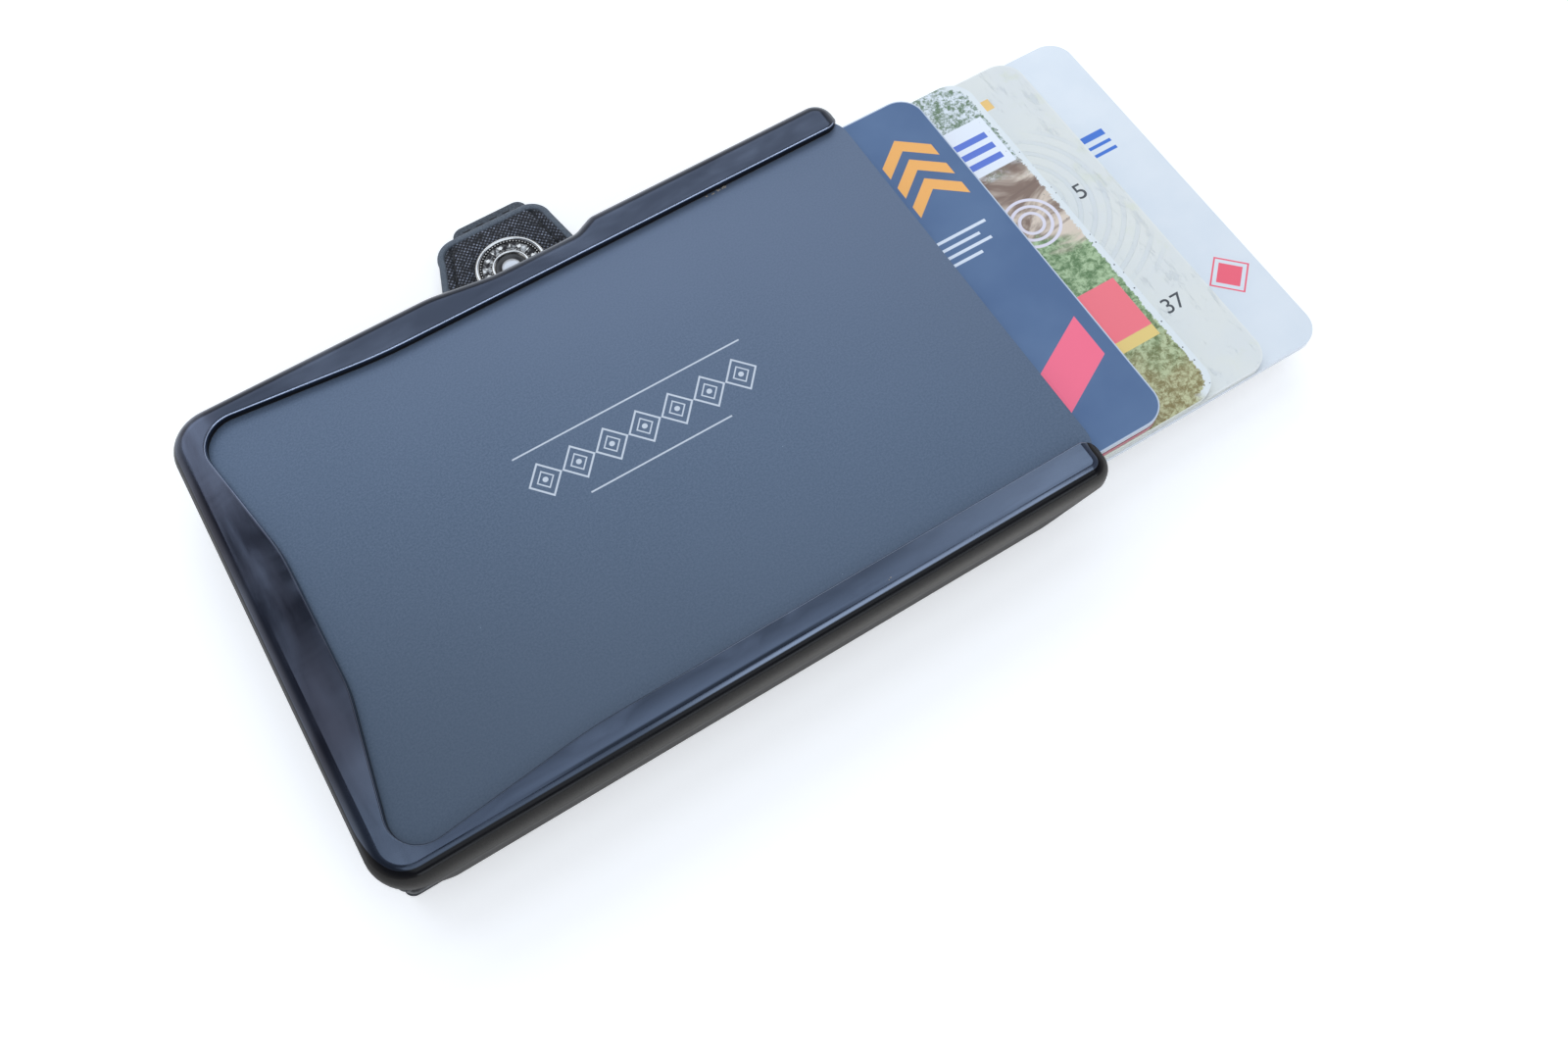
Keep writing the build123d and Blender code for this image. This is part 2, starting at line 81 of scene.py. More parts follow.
class Tree:
    """A node tree, with a short call for each kind of node it uses."""

    def __init__(self, tree):
        self.tree = tree

    def put(self, socket, value):
        if isinstance(value, bpy.types.NodeSocket):
            self.tree.links.new(value, socket)
        elif socket.type == "RGBA" and len(value) == 3:
            socket.default_value = (*value, 1)
        else:
            socket.default_value = value

    def node(self, kind, sockets, out=0, **settings):
        node = self.tree.nodes.new("ShaderNode" + kind)
        for key, value in settings.items():
            setattr(node, key, value)
        for key, value in sockets.items():
            self.put(node.inputs[key], value)
        return node.outputs[out]

    def split(self, vector):
        node = self.tree.nodes.new("ShaderNodeSeparateXYZ")
        self.put(node.inputs[0], vector)
        return tuple(node.outputs)

    def math(self, operation, *values):
        return self.node("Math", dict(enumerate(values)), operation=operation)

    def chain(self, operation, values):
        result = values[0]
        for value in values[1:]:
            result = self.math(operation, result, value)
        return result

    def add(self, *values):
        return self.chain("ADD", values)

    def times(self, *values):
        return self.chain("MULTIPLY", values)

    def most(self, *values):
        return self.chain("MAXIMUM", values)

    def less(self, first, second):
        return self.math("SUBTRACT", first, second)

    def size(self, value):
        return self.math("ABSOLUTE", value)

    def ramp(self, value, low, high, first=0, last=1):
        """A smooth change from first to last while value goes from low to high."""
        sockets = {0: value, 1: low, 2: high, 3: first, 4: last}
        return self.node("MapRange", sockets, interpolation_type="SMOOTHSTEP")

    def span(self, value, low, high, soft=0.04):
        """One inside a span, zero outside, with an edge as soft as given."""
        rise = self.ramp(value, low - soft, low + soft)
        return self.times(rise, self.ramp(value, high - soft, high + soft, 1, 0))

    def mix(self, share, first, last):
        return self.node("Mix", {0: share, 6: first, 7: last}, out=2, data_type="RGBA")

    def fade(self, value, low, high, first, last):
        """A smooth change of colour while value goes from low to high."""
        return self.mix(self.ramp(value, low, high), first, last)

    def layers(self, colour, *layers):
        """A colour with others laid over it, each where its mask is one."""
        for mask, paint in layers:
            colour = self.mix(mask, colour, paint)
        return colour

    def blend(self, share, first, last):
        """A mix of plain numbers."""
        return self.add(self.times(first, self.less(1, share)), self.times(last, share))

    def gap(self, u, v, centre_u=0, centre_v=0):
        """Distance from a point in the plane."""
        squares = [self.math("POWER", self.less(a, b), 2) for a, b in ((u, centre_u), (v, centre_v))]
        return self.math("SQRT", self.add(*squares))


class Paint(Tree):
    """One material; its x, y and z are millimetres in the object's frame."""

    def __init__(self, name, **sockets):
        self.material = bpy.data.materials.new(name)
        self.material.use_nodes = True
        super().__init__(self.material.node_tree)
        self.shader = self.tree.nodes["Principled BSDF"]
        for key, value in sockets.items():
            self.put(self.shader.inputs[key.replace("_", " ")], value)
        self.point = self.scaled(self.node("TexCoord", {}, out="Object"), 1 / MM)
        self.x, self.y, self.z = self.split(self.point)

    def scaled(self, vector, factor):
        return self.node("VectorMath", {0: vector, 3: factor}, operation="SCALE")

    def stretched(self, factors):
        if not factors:
            return self.point
        return self.node("VectorMath", {0: self.point, 1: factors}, operation="MULTIPLY")

    def noise(self, scale, detail=2, stretch=None, rough=0.5, bend=0):
        """Noise with so many patches a millimetre."""
        sockets = {"Vector": self.stretched(stretch), "Scale": scale, "Detail": detail}
        return self.node("TexNoise", {**sockets, "Roughness": rough, "Distortion": bend})

    def cells(self, scale, feature="F1"):
        sockets = {"Vector": self.point, "Scale": scale, "Randomness": 1}
        return self.node("TexVoronoi", sockets, out="Distance", feature=feature)

    def bump(self, *heights):
        """Heights in millimetres, each a pair of a socket and the depth it stands for."""
        last = {}
        for height, depth in heights:
            sockets = {"Height": height, "Distance": depth * MM, "Strength": 1, **last}
            last = {"Normal": self.node("Bump", sockets)}
        self.put(self.shader.inputs["Normal"], last["Normal"])

    def shade(self, colour, roughness, metallic=None):
        for key, value in (("Base Color", colour), ("Roughness", roughness), ("Metallic", metallic)):
            if value is not None:
                self.put(self.shader.inputs[key], value)
        return self.material


def in_scene(name, data):
    obj = bpy.data.objects.new(name, data)
    bpy.context.scene.collection.objects.link(obj)
    return obj


def make_camera():
    data = bpy.data.cameras.new("camera")
    data.lens = camera_lens
    data.clip_start = 10 * MM
    place, aim = Vector(camera_place) * MM, Vector(camera_aim) * MM
    turn = (aim - place).to_track_quat("-Z", "Y").to_matrix().to_4x4()
    roll = Matrix.Rotation(math.radians(camera_roll), 4, "Z")
    camera = in_scene("camera", data)
    camera.matrix_world = Matrix.Translation(place) @ turn @ roll
    bpy.context.scene.camera = camera


def make_light(name, place, aim, width, height, brightness, colour):
    data = bpy.data.lights.new(name, "AREA")
    data.shape = "RECTANGLE"
    data.size, data.size_y = width * MM, height * MM
    data.energy = brightness * math.pi * data.size * data.size_y
    data.color = colour
    light = in_scene(name, data)
    light.location = Vector(place) * MM
    light.rotation_euler = (Vector(aim) - Vector(place)).to_track_quat("-Z", "Y").to_euler()
    light.visible_camera = False


def make_world():
    """A pale room, white at the horizon and dimmer overhead."""
    world = bpy.data.worlds.new("studio")
    bpy.context.scene.world = world
    world.use_nodes = True
    t = Tree(world.node_tree)
    up = t.split(t.node("TexCoord", {}, out="Generated"))[2]
    t.put(t.tree.nodes["Background"].inputs["Color"], t.mix(t.ramp(up, *world_change), *world_levels))


def make_floor():
    """Pale paper whose own light only camera, glossy and transmission rays see."""
    signs = ((-1, -1), (1, -1), (1, 1), (-1, 1))
    corners = [(x * floor_half, y * floor_half, 0) for x, y in signs]
    floor = new_object("floor", corners, [(0, 1, 2, 3)])
    material = bpy.data.materials.new("floor_white")
    material.use_nodes = True
    t = Tree(material.node_tree)
    t.tree.nodes.remove(t.tree.nodes["Principled BSDF"])
    rays = t.tree.nodes.new("ShaderNodeLightPath").outputs
    seen = t.most(*[rays[name] for name in ("Is Camera Ray", "Is Glossy Ray", "Is Transmission Ray")])
    reach = t.node("VectorMath", {0: t.node("TexCoord", {}, out="Object")}, out="Value", operation="LENGTH")
    near, far = [place * MM for place in floor_lift_places]
    lift = t.node("MapRange", {0: reach, 1: near, 2: far, 3: floor_lift[0], 4: floor_lift[1]})
    paper = t.node("BsdfDiffuse", {"Color": floor_colour})
    total = t.node("AddShader", {0: paper, 1: t.node("Emission", {"Strength": t.times(seen, lift)})})
    t.put(t.tree.nodes["Material Output"].inputs["Surface"], total)
    floor.data.materials.append(material)


def new_object(name, points, faces, smooth=False):
    """An object with a mesh from points in millimetres."""
    mesh = bpy.data.meshes.new(name)
    mesh.from_pydata([Vector(p) * MM for p in points], [], faces)
    mesh.polygons.foreach_set("use_smooth", [smooth] * len(mesh.polygons))
    mesh.update()
    return in_scene(name, mesh)


# Points of a large and of a small piece that lie nearer than this are one
joined_within = 0.002
joined_within_fine = 0.0005


def clean(obj, distance=joined_within_fine):
    """Joins points that lie on each other and turns all faces outwards."""
    work = bmesh.new()
    work.from_mesh(obj.data)
    bmesh.ops.remove_doubles(work, verts=work.verts, dist=distance * MM)
    bmesh.ops.dissolve_degenerate(work, edges=work.edges, dist=distance * MM / 2)
    bmesh.ops.recalc_face_normals(work, faces=work.faces)
    work.to_mesh(obj.data)
    work.free()
    return obj


def dress(obj, material, body, slot, *replaced):
    """Gives a piece its material and the body it moves with, and hides the CAD nodes it replaces; the slot
    argument is not used.
    """
    obj.data.materials.append(material)
    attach(obj, body)
    if replaced:
        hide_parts(*replaced)


def circle(count, shift=0):
    """Cosine and sine of even turns round a circle."""
    turns = [2 * math.pi * (index + shift) / count for index in range(count)]
    return [(math.cos(turn), math.sin(turn)) for turn in turns]


def row_faces(rows, wide, start=0, flip=False, looped=False, closed=True):
    """Quads between following rows of points, each row closed to a ring unless told otherwise."""
    faces = []
    for row in range(rows if looped else rows - 1):
        here, there = start + row * wide, start + (row + 1) % rows * wide
        for a in range(wide if closed else wide - 1):
            b = (a + 1) % wide
            face = (here + a, there + a, there + b, here + b)
            faces.append((face[0], *reversed(face[1:])) if flip else face)
    return faces


# Distances from an edge at which a rounded edge has its grid lines
edge_lines = (0, 0.02, 0.08, 0.17, 0.3, 0.45, 0.65, 0.9, 1.2, 1.5, 1.8, 2.1, 2.5)


def grid_lines(low, high, step, extra=()):
    """Grid lines from low to high: close together at both edges, then a step apart."""
    near = [e for e in edge_lines if e < (high - low) / 2]
    inner_low, inner_high = low + near[-1], high - near[-1]
    count = max(1, round((inner_high - inner_low) / step))
    lines = [low + e for e in near] + [high - e for e in near] + list(extra)
    lines += [inner_low + (inner_high - inner_low) * i / count for i in range(1, count)]
    return sorted({round(value, 3) for value in lines})


def rounded_place(x, y, box, radii):
    """Moves a grid point into the rounded corners; radii are for the low and the high y side."""
    x_low, x_high, y_low, y_high = box
    low_x, low_y = x <= (x_low + x_high) / 2, y <= (y_low + y_high) / 2
    radius = radii[0] if low_y else radii[1]
    depth = min(x - x_low, x_high - x, y - y_low, y_high - y)
    if radius <= 0:
        return x, y, depth
    centre_x = x_low + radius if low_x else x_high - radius
    centre_y = y_low + radius if low_y else y_high - radius
    across, along = (x - centre_x) / radius, (y - centre_y) / radius
    reach_x, reach_y = -across if low_x else across, -along if low_y else along
    if reach_x <= 0 or reach_y <= 0:
        return x, y, depth
    reach, length = max(reach_x, reach_y), math.hypot(across, along)
    move = radius * reach / length
    return centre_x + move * across, centre_y + move * along, radius * (1 - reach)


def soft_sheet(name, box, radii, step, height, warp=None, extra_y=()):
    """A closed soft piece: height takes x, y, the distance from the edge, and 1 for top or -1."""
    xs = grid_lines(box[0], box[1], step)
    ys = grid_lines(box[2], box[3], step, extra_y)
    points, faces = [], []
    for side in (1, -1):
        faces += [face[::side] for face in row_faces(len(xs), len(ys), len(points), closed=False)]
        for x in xs:
            for y in ys:
                px, py, depth = rounded_place(x, y, box, radii)
                if x in (xs[0], xs[-1]) or y in (ys[0], ys[-1]):
                    depth = 0
                place = warp(px, py) if warp else (px, py)
                points.append((*place, height(px, py, depth, side)))
    return clean(new_object(name, points, faces, smooth=True), joined_within)


def round_edge(depth, radius):
    """Share of the full height at a distance from the edge, for an edge rounded to radius."""
    if depth >= radius:
        return 1
    return math.sqrt(max(0, 1 - (1 - depth / radius) ** 2))


def groove(distance, depth, width):
    """Depth of a sewn groove at a distance from its middle."""
    return depth * math.exp(-((distance / width) ** 2))


def middle_half(low, high):
    """The middle of a span and half its length."""
    return (low + high) / 2, (high - low) / 2


def pillow(name, node, radii, step, edge, box=None, warp=None):
    """A soft sheet that fills its CAD node's height, with edges rounded to a radius."""
    low, high = spans(node)
    middle, half = middle_half(low[2], high[2])

    def height(x, y, depth, side):
        return middle + side * half * round_edge(depth, edge)

    return soft_sheet(name, box or plan(node), radii, step, height, warp)


def keep_places(obj, name, change):
    """Writes what a function makes of each point's place at rest to the mesh, for its material."""
    kept = obj.data.attributes.new(name, "FLOAT_VECTOR", "POINT")
    for index, vertex in enumerate(obj.data.vertices):
        kept.data[index].vector = change(vertex.co)


def lathe(name, profile, centre, count=96, closed=True):
    """A turned piece from its half section, radius and height."""
    points = []
    for cosine, sine in circle(count):
        points += [(centre[0] + r * cosine, centre[1] + r * sine, height) for r, height in profile]
    faces = row_faces(count, len(profile), looped=True, closed=closed)
    return clean(new_object(name, points, faces, smooth=True))


def beads(name, places, radius, rings=5, sides=8):
    """Small round beads, all in one mesh."""
    points, faces = [], []
    for x, y, z in places:
        faces += row_faces(rings + 1, sides, len(points))
        for ring in range(rings + 1):
            tilt = math.pi * ring / rings
            wide, height = radius * math.sin(tilt), z + radius * math.cos(tilt)
            points += [(x + wide * cosine, y + wide * sine, height) for cosine, sine in circle(sides)]
    return clean(new_object(name, points, faces, smooth=True))


def end_caps(first, last, count):
    """The two end faces of a tube, from the first point of its first and of its last ring."""
    return [tuple(first + i for i in reversed(range(count))), tuple(last + i for i in range(count))]


def stitches(name, runs, length, radius, sink, rings=9, count=8):
    """Sewing thread: one arched stitch for each run of middle point, height and direction."""
    points, faces = [], []
    for x, y, z, turn in runs:
        start = len(points)
        along = (math.cos(turn), math.sin(turn))
        for ring in range(rings + 1):
            share = ring / rings * 2 - 1
            wide = radius * math.sqrt(max(0.02, 1 - abs(share) ** 5))
            ahead, height = share * length / 2, z - sink * share**4
            for cosine, sine in circle(count):
                side = wide * cosine
                place = (x + along[0] * ahead - along[1] * side, y + along[1] * ahead + along[0] * side)
                points.append((*place, height + wide * sine * 0.8))
        faces += row_faces(rings + 1, count, start, flip=True)
        faces += end_caps(start, start + rings * count, count)
    return new_object(name, points, faces, smooth=True)


def seam(path, pitch, height):
    """Middle points and directions of stitches at an even pitch along a path."""
    runs, carried = [], pitch / 2
    for (x0, y0), (x1, y1) in zip(path, path[1:]):
        length = math.hypot(x1 - x0, y1 - y0)
        while carried < length:
            share = carried / length
            x, y = x0 + (x1 - x0) * share, y0 + (y1 - y0) * share
            runs.append((x, y, height, math.atan2(y1 - y0, x1 - x0)))
            carried += pitch
        carried -= length
    return runs


def swept_edge(name, path, section):
    """A strip with a closed section swept along an open path; sections lie across the path."""
    points = []
    for index, (x, y) in enumerate(path):
        x0, y0 = path[max(0, index - 1)]
        x1, y1 = path[min(len(path) - 1, index + 1)]
        length = math.hypot(x1 - x0, y1 - y0)
        side = ((y1 - y0) / length, -(x1 - x0) / length)
        points += [(x + side[0] * out, y + side[1] * out, height) for out, height in section]
    wide = len(section)
    faces = row_faces(len(path), wide, flip=True) + end_caps(0, (len(path) - 1) * wide, wide)
    return clean(new_object(name, points, faces, smooth=True))


def quarter(x, y, reach, first, count, start=0):
    """Points of a quarter circle from a first turn on, clockwise for a negative count."""
    turns = [first + math.pi / 2 * index / count for index in range(start, abs(count) + 1)]
    return [(x + reach * math.cos(turn), y + reach * math.sin(turn)) for turn in turns]


known_spans = {}


def spans(node):
    """A CAD node's lowest and highest corner, in millimetres."""
    if node not in known_spans:
        low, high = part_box(node)
        known_spans[node] = [value / MM for value in low], [value / MM for value in high]
    return known_spans[node]


def plan(node):
    """A CAD node's lowest and highest x, then y."""
    low, high = spans(node)
    return low[0], high[0], low[1], high[1]


def middle_of(node):
    x_low, x_high, y_low, y_high = plan(node)
    return (x_low + x_high) / 2, (y_low + y_high) / 2


def repaint(material, *nodes):
    """Gives CAD nodes their material."""
    for node in nodes:
        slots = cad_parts[node].data.materials
        slots.clear()
        slots.append(material)


bpy.context.scene.view_settings.view_transform = "Standard"
make_camera()
make_world()
make_floor()
for name, values in lights.items():
    make_light(name, *values)

# Heights and places read from the CAD, and the low edge of the opening, where the lower rail starts
frame_low, frame_high = spans("frame")
plate_top = spans("front_plate")[1][2]
rim_top = frame_high[2]
opening_edge = -25.85
# Painted dark line (a painted reflection) along the lower rail just before its outer edge: its y span
painted_dark_line_span = (-28.9, -28.5)


def rim_tones(w, low_rail, smoke, streaks, left_rim, drift):
    """Colour of the polished rim: smoky smudges, with painted reflections that make the lower rail lighter
    and bluer, more so towards its outer edge and the exit, a painted highlight towards the closed end's
    lower corner and a painted dark line along the lower rail.
    """
    haze = w.times(w.ramp(w.blend(left_rim, smoke, drift), 0.34, 0.66), w.ramp(streaks, 0.3, 0.7, 0.35))
    # Painted reflections on the lower rail: its tones a lighter, bluer copy of the top's, lighter still
    # towards its outer edge, less so at the closed end
    outward_reflection = w.times(w.ramp(w.y, opening_edge, opening_edge - 3.2, 0, 0.8), w.ramp(w.x, -38, -18, 0.45))
    low_top_with_reflection = w.mix(w.most(haze, outward_reflection), (0.034, 0.042, 0.06), (0.086, 0.106, 0.148))
    # Painted highlight on the lower rail towards the exit end
    low_top_with_reflection = w.mix(w.ramp(w.x, 8, 44, 0, 0.8), low_top_with_reflection, (0.125, 0.152, 0.205))
    # Painted highlight on the left rim, lighter towards the closed end's lower corner
    corner = w.fade(w.y, -12, -26, (0.046, 0.048, 0.064), (0.08, 0.098, 0.134))
    left_rim_with_highlight = w.mix(haze, corner, (0.088, 0.1, 0.134))
    # Painted dark line along the lower rail before its outer edge, a painted reflection, fading towards the
    # exit
    painted_dark_line_mask = w.times(w.span(w.y, *painted_dark_line_span, 0.15), w.ramp(w.x, -32, -18), w.ramp(w.x, 2, 18, 1, 0.15))
    top = w.mix(haze, (0.034, 0.04, 0.055), (0.07, 0.082, 0.11))
    dark = (w.times(painted_dark_line_mask, 0.85), (0.008, 0.01, 0.014))
    return w.layers(top, (low_rail, low_top_with_reflection), (left_rim, left_rim_with_highlight), dark)


def wall_tones(w, low_rail, wall, fine):
    """Colour of the satin walls, with painted light and shade: lighter towards the exit and halfway down,
    darker just under the rim and near the base, lighter on the lower rail, and a near-black painted dark
    band between the rim and the wall.
    """
    # Painted light towards the exit
    exit_painted_light = w.ramp(w.x, frame_low[0], frame_high[0], 0.35, 1)
    # Painted light and shade down the wall: dark under the rim, lightest halfway, darker near the base
    height_painted_light = w.ramp(w.z, rim_top - 0.45, rim_top - 1.8, 0.15, 0.95)
    height_painted_light = w.times(height_painted_light, w.ramp(w.z, rim_top - 1.4, frame_low[2] + 3.5, 1, 0.12))
    # The lower rail's wall is painted lighter than the others
    satin = w.mix(low_rail, (0.1, 0.094, 0.087), (0.152, 0.143, 0.132))
    warm = w.mix(w.times(exit_painted_light, height_painted_light), (0.02, 0.019, 0.018), satin)
    warm = w.mix(w.ramp(fine, 0.35, 0.7, 0, 0.4), warm, (0.012, 0.011, 0.01))
    # Near-black painted dark band (a painted reflection) between the polished rim and the wall
    return w.mix(wall, (0.004, 0.004, 0.005), warm)


def frame_material():
    """Black anodised moulding: a polished rim and satin walls, both with painted light and shade; its tight
    inner edges are metallic, with a painted highlight along the upper rail's.
    """
    w = Paint("frame_black", IOR=1.25)
    level = w.split(w.node("TexCoord", {}, out="Normal"))[2]
    low_rail = w.ramp(w.y, -22, -27.5)
    left_rim = w.ramp(w.x, frame_low[0] + 8, frame_low[0] + 3.5)
    height = w.add(w.z, w.times(w.less(1, low_rail), 0.5))
    wall = w.ramp(height, rim_top - 0.4, rim_top - 0.62)
    tight = w.times(w.ramp(w.z, rim_top - 0.3, rim_top - 0.2), w.span(level, 0.12, 0.82, 0.06))
    rim = w.most(w.ramp(height, rim_top - 0.1, rim_top - 0.06), tight)
    smoke = w.noise(0.14, 3, (0.45, 1, 1), 0.55, 0.4)
    wisps = w.noise(0.75, 4, (0.16, 1, 1), 0.55, 0.3)
    along = w.noise(0.55, 4, (1, 0.16, 1), 0.55, 0.3)
    drift = w.noise(0.2, 2, (1, 0.3, 1), 0.5, 0.2)
    fine = w.noise(9, 3, None, 0.65)
    streaks = w.blend(left_rim, wisps, along)
    top = rim_tones(w, low_rail, smoke, streaks, left_rim, drift)
    # Painted highlight line along the lower rail's top edges, dimmer towards the closed end
    highlight_line_colour = w.mix(w.ramp(w.x, -16, 2), (0.05, 0.062, 0.085), (0.165, 0.195, 0.255))
    upper_band = w.ramp(w.z, rim_top - 0.004, rim_top - 0.02)
    painted_line_mask = w.times(low_rail, upper_band, w.ramp(w.z, rim_top - 0.3, rim_top - 0.2))
    top = w.mix(painted_line_mask, top, highlight_line_colour)
    # Painted highlight on the upper rail's tight inner edge
    painted_edge_highlight = w.times(tight, w.ramp(w.y, 8, 18, 0.12, 0.75))
    top = w.mix(painted_edge_highlight, top, (0.46, 0.54, 0.72))
    rough = w.add(w.ramp(smoke, 0.3, 0.75, 0.12, 0.22), w.ramp(streaks, 0.4, 0.8, 0, 0.1))
    rough = w.most(rough, w.times(wall, 0.6))
    w.bump((smoke, 0.02), (w.times(fine, wall), 0.006))
    return w.shade(w.mix(rim, wall_tones(w, low_rail, wall, fine), top), rough, rim)


# Ornament on the front plate: a chain of lozenges between two thin rules, each with its height and
# half its length
mark_middle = (2.9, 2)
mark_half_length = 14.7
mark_lozenge = (2.1, 2.4)
mark_rules = ((4.1, 14.7), (-4.1, 9))
mark_line = 0.2


def plate_mark(w):
    """One on the ornament's fine pale lines, zero elsewhere."""
    u, v = w.less(w.x, mark_middle[0]), w.less(w.y, mark_middle[1])
    step = w.math("PINGPONG", u, mark_lozenge[0])
    shares = [w.math("DIVIDE", a, b) for a, b in zip((step, w.size(v)), mark_lozenge)]
    shape = w.add(*shares)
    inside = w.span(u, -mark_half_length, mark_half_length)
    rings = [w.times(w.span(shape, *edges, 0.02), inside) for edges in ((0.86, 1), (0.42, 0.52))]
    marks = w.most(*rings, w.times(w.ramp(w.gap(step, v), 0.36, 0.3), inside))
    for height, reach in mark_rules:
        rule = w.span(v, height - mark_line / 2, height + mark_line / 2)
        marks = w.most(marks, w.times(rule, w.span(u, -reach, reach)))
    return w.times(marks, w.ramp(w.z, plate_top - 0.3, plate_top - 0.1))


def plate_material():
    """Matte anodised aluminium with a fine bluish speckle and a few light specks; painted shade towards the
    lower left and painted light towards the upper right.
    """
    w = Paint("plate_slate", Metallic=0.35)
    speckle = w.noise(4.2, 3, None, 0.75)
    low = w.add(w.y, w.times(w.x, 0.5))
    strength = w.ramp(w.noise(0.9, 1), 0.45, 0.7, 0, 0.6)
    colour = w.layers(
        w.fade(speckle, 0.32, 0.68, (0.066, 0.104, 0.162), (0.116, 0.16, 0.232)),
        (w.ramp(w.noise(0.035, 2), 0.3, 0.7, 0, 0.3), (0.112, 0.155, 0.228)),
        # Painted shade towards the lower left and painted light towards the upper right
        (w.ramp(low, 8, -44, 0, 0.6), (0.052, 0.07, 0.096)),
        (w.ramp(low, -8, 36, 0, 0.6), (0.13, 0.168, 0.246)),
        (w.times(w.ramp(w.cells(0.36), 0.028, 0.014), strength), (0.34, 0.42, 0.52)),
        (w.times(plate_mark(w), 0.92), (0.6, 0.64, 0.69)),
    )
    w.bump((speckle, 0.006))
    return w.shade(colour, w.ramp(speckle, 0.2, 0.8, 0.42, 0.52))


def plain_material(name, light, dark, rough, grain=5, depth=0.01, metallic=0, stretch=None):
    """A moulded or rolled material with a grain of its own."""
    w = Paint(name, Metallic=metallic)
    patches = w.noise(grain, 4, stretch, 0.6)
    colour = w.fade(patches, 0.25, 0.75, dark, light)
    colour = w.mix(w.ramp(w.noise(grain / 12, 2), 0.35, 0.7, 0, 0.3), colour, dark)
    w.bump((patches, depth))
    return w.shade(colour, w.ramp(patches, 0.2, 0.8, rough - 0.06, rough + 0.08))


steel = plain_material(
    "steel_brushed", (0.46, 0.47, 0.49), (0.36, 0.37, 0.39), 0.32, 6, 0.003, 1, (0.05, 1, 1)
)
rubber = plain_material("rubber_black", (0.022, 0.022, 0.023), (0.012, 0.012, 0.013), 0.72, 3, 0.02)
foam = plain_material("pad_foam", (0.045, 0.045, 0.047), (0.016, 0.016, 0.017), 0.92, 2.4, 0.12)
silicone = plain_material("silicone_grey", (0.2, 0.21, 0.22), (0.16, 0.17, 0.18), 0.5, 2, 0.006)
guide = plain_material("guide_plastic", (0.03, 0.031, 0.034), (0.02, 0.021, 0.024), 0.42, 4, 0.006)
button = plain_material("button_plastic", (0.014, 0.015, 0.018), (0.007, 0.008, 0.01), 0.3, 5, 0.005)
repaint(frame_material(), "frame")
repaint(plate_material(), "front_plate", "rear_plate")
repaint(steel, "drive_strip", "cream_pusher", "photo_pusher", "navy_pusher", "slider_pin", "brake_spring")
repaint(rubber, "stop_bumper", "brake_pad")
repaint(silicone, "end_pad")
repaint(guide, "card_guide_bar")
repaint(button, "slider_button")


# The cards' half length and width, corner radius and turn, and the span of height over which their
# print gives way to their edge
card_half = (42.8, 26.99)
card_corner = 3.18
card_turn = math.radians(-0.3)
card_skin = (0.06, 0.02)


class Card(Paint):
    """A card's material: u runs towards the exit and v across, both from the card's middle."""

    def __init__(self, node, **sockets):
        super().__init__(node + "_print", **sockets)
        low, high = spans(node)
        turned = {0: self.point, 1: (*middle_of(node), 0), 2: (0, 0, card_turn)}
        self.u, self.v, _ = self.split(self.node("Mapping", turned, vector_type="TEXTURE"))
        self.face = self.ramp(self.z, *[high[2] - skin for skin in card_skin])
        self.back = self.ramp(self.z, *[low[2] + skin for skin in card_skin])
        self.depth = self.edge_depth()

    def edge_depth(self):
        """Distance inwards from the card's rounded outline."""
        out = [self.less(self.size(a), half - card_corner) for a, half in zip((self.u, self.v), card_half)]
        corner = self.gap(*[self.most(value, 0) for value in out])
        inside = self.math("MINIMUM", self.most(*out), 0)
        return self.less(card_corner, self.add(corner, inside))

    def panel(self, u0, u1, v0, v1):
        return self.times(self.span(self.u, u0, u1), self.span(self.v, v0, v1))

    def slanted(self, slope):
        """v measured from a line that climbs with u."""
        return self.less(self.v, self.times(self.u, slope))

    def bar(self, across, start, wide, u0, u1):
        """A bar so wide from a start, measured by any value, between two places along the card."""
        return self.times(self.span(across, start, start + wide), self.span(self.u, u0, u1))

    def card(self, colour, core, rough=0.34, relief=None):
        """Puts the print on the face, a stripe and a strip on the back, and the core at the edge."""
        back = self.mix(self.span(self.v, 10.5, 23.2), (0.45, 0.47, 0.5), (0.012, 0.011, 0.012))
        back = self.mix(self.panel(-36, 22, -4, 6), back, (0.8, 0.81, 0.8))
        fine = self.noise(14, 3, None, 0.6)
        sides = self.fade(fine, 0.3, 0.7, core, [c * 0.82 for c in core])
        self.bump((self.noise(0.05, 1), 0.12), (fine, 0.002), *([(relief, 0.05)] if relief else []))
        gloss = self.ramp(self.noise(0.25, 4, None, 0.6), 0.4, 0.75, rough, rough + 0.06)
        return self.shade(self.layers(sides, (self.face, colour), (self.back, back)), gloss)


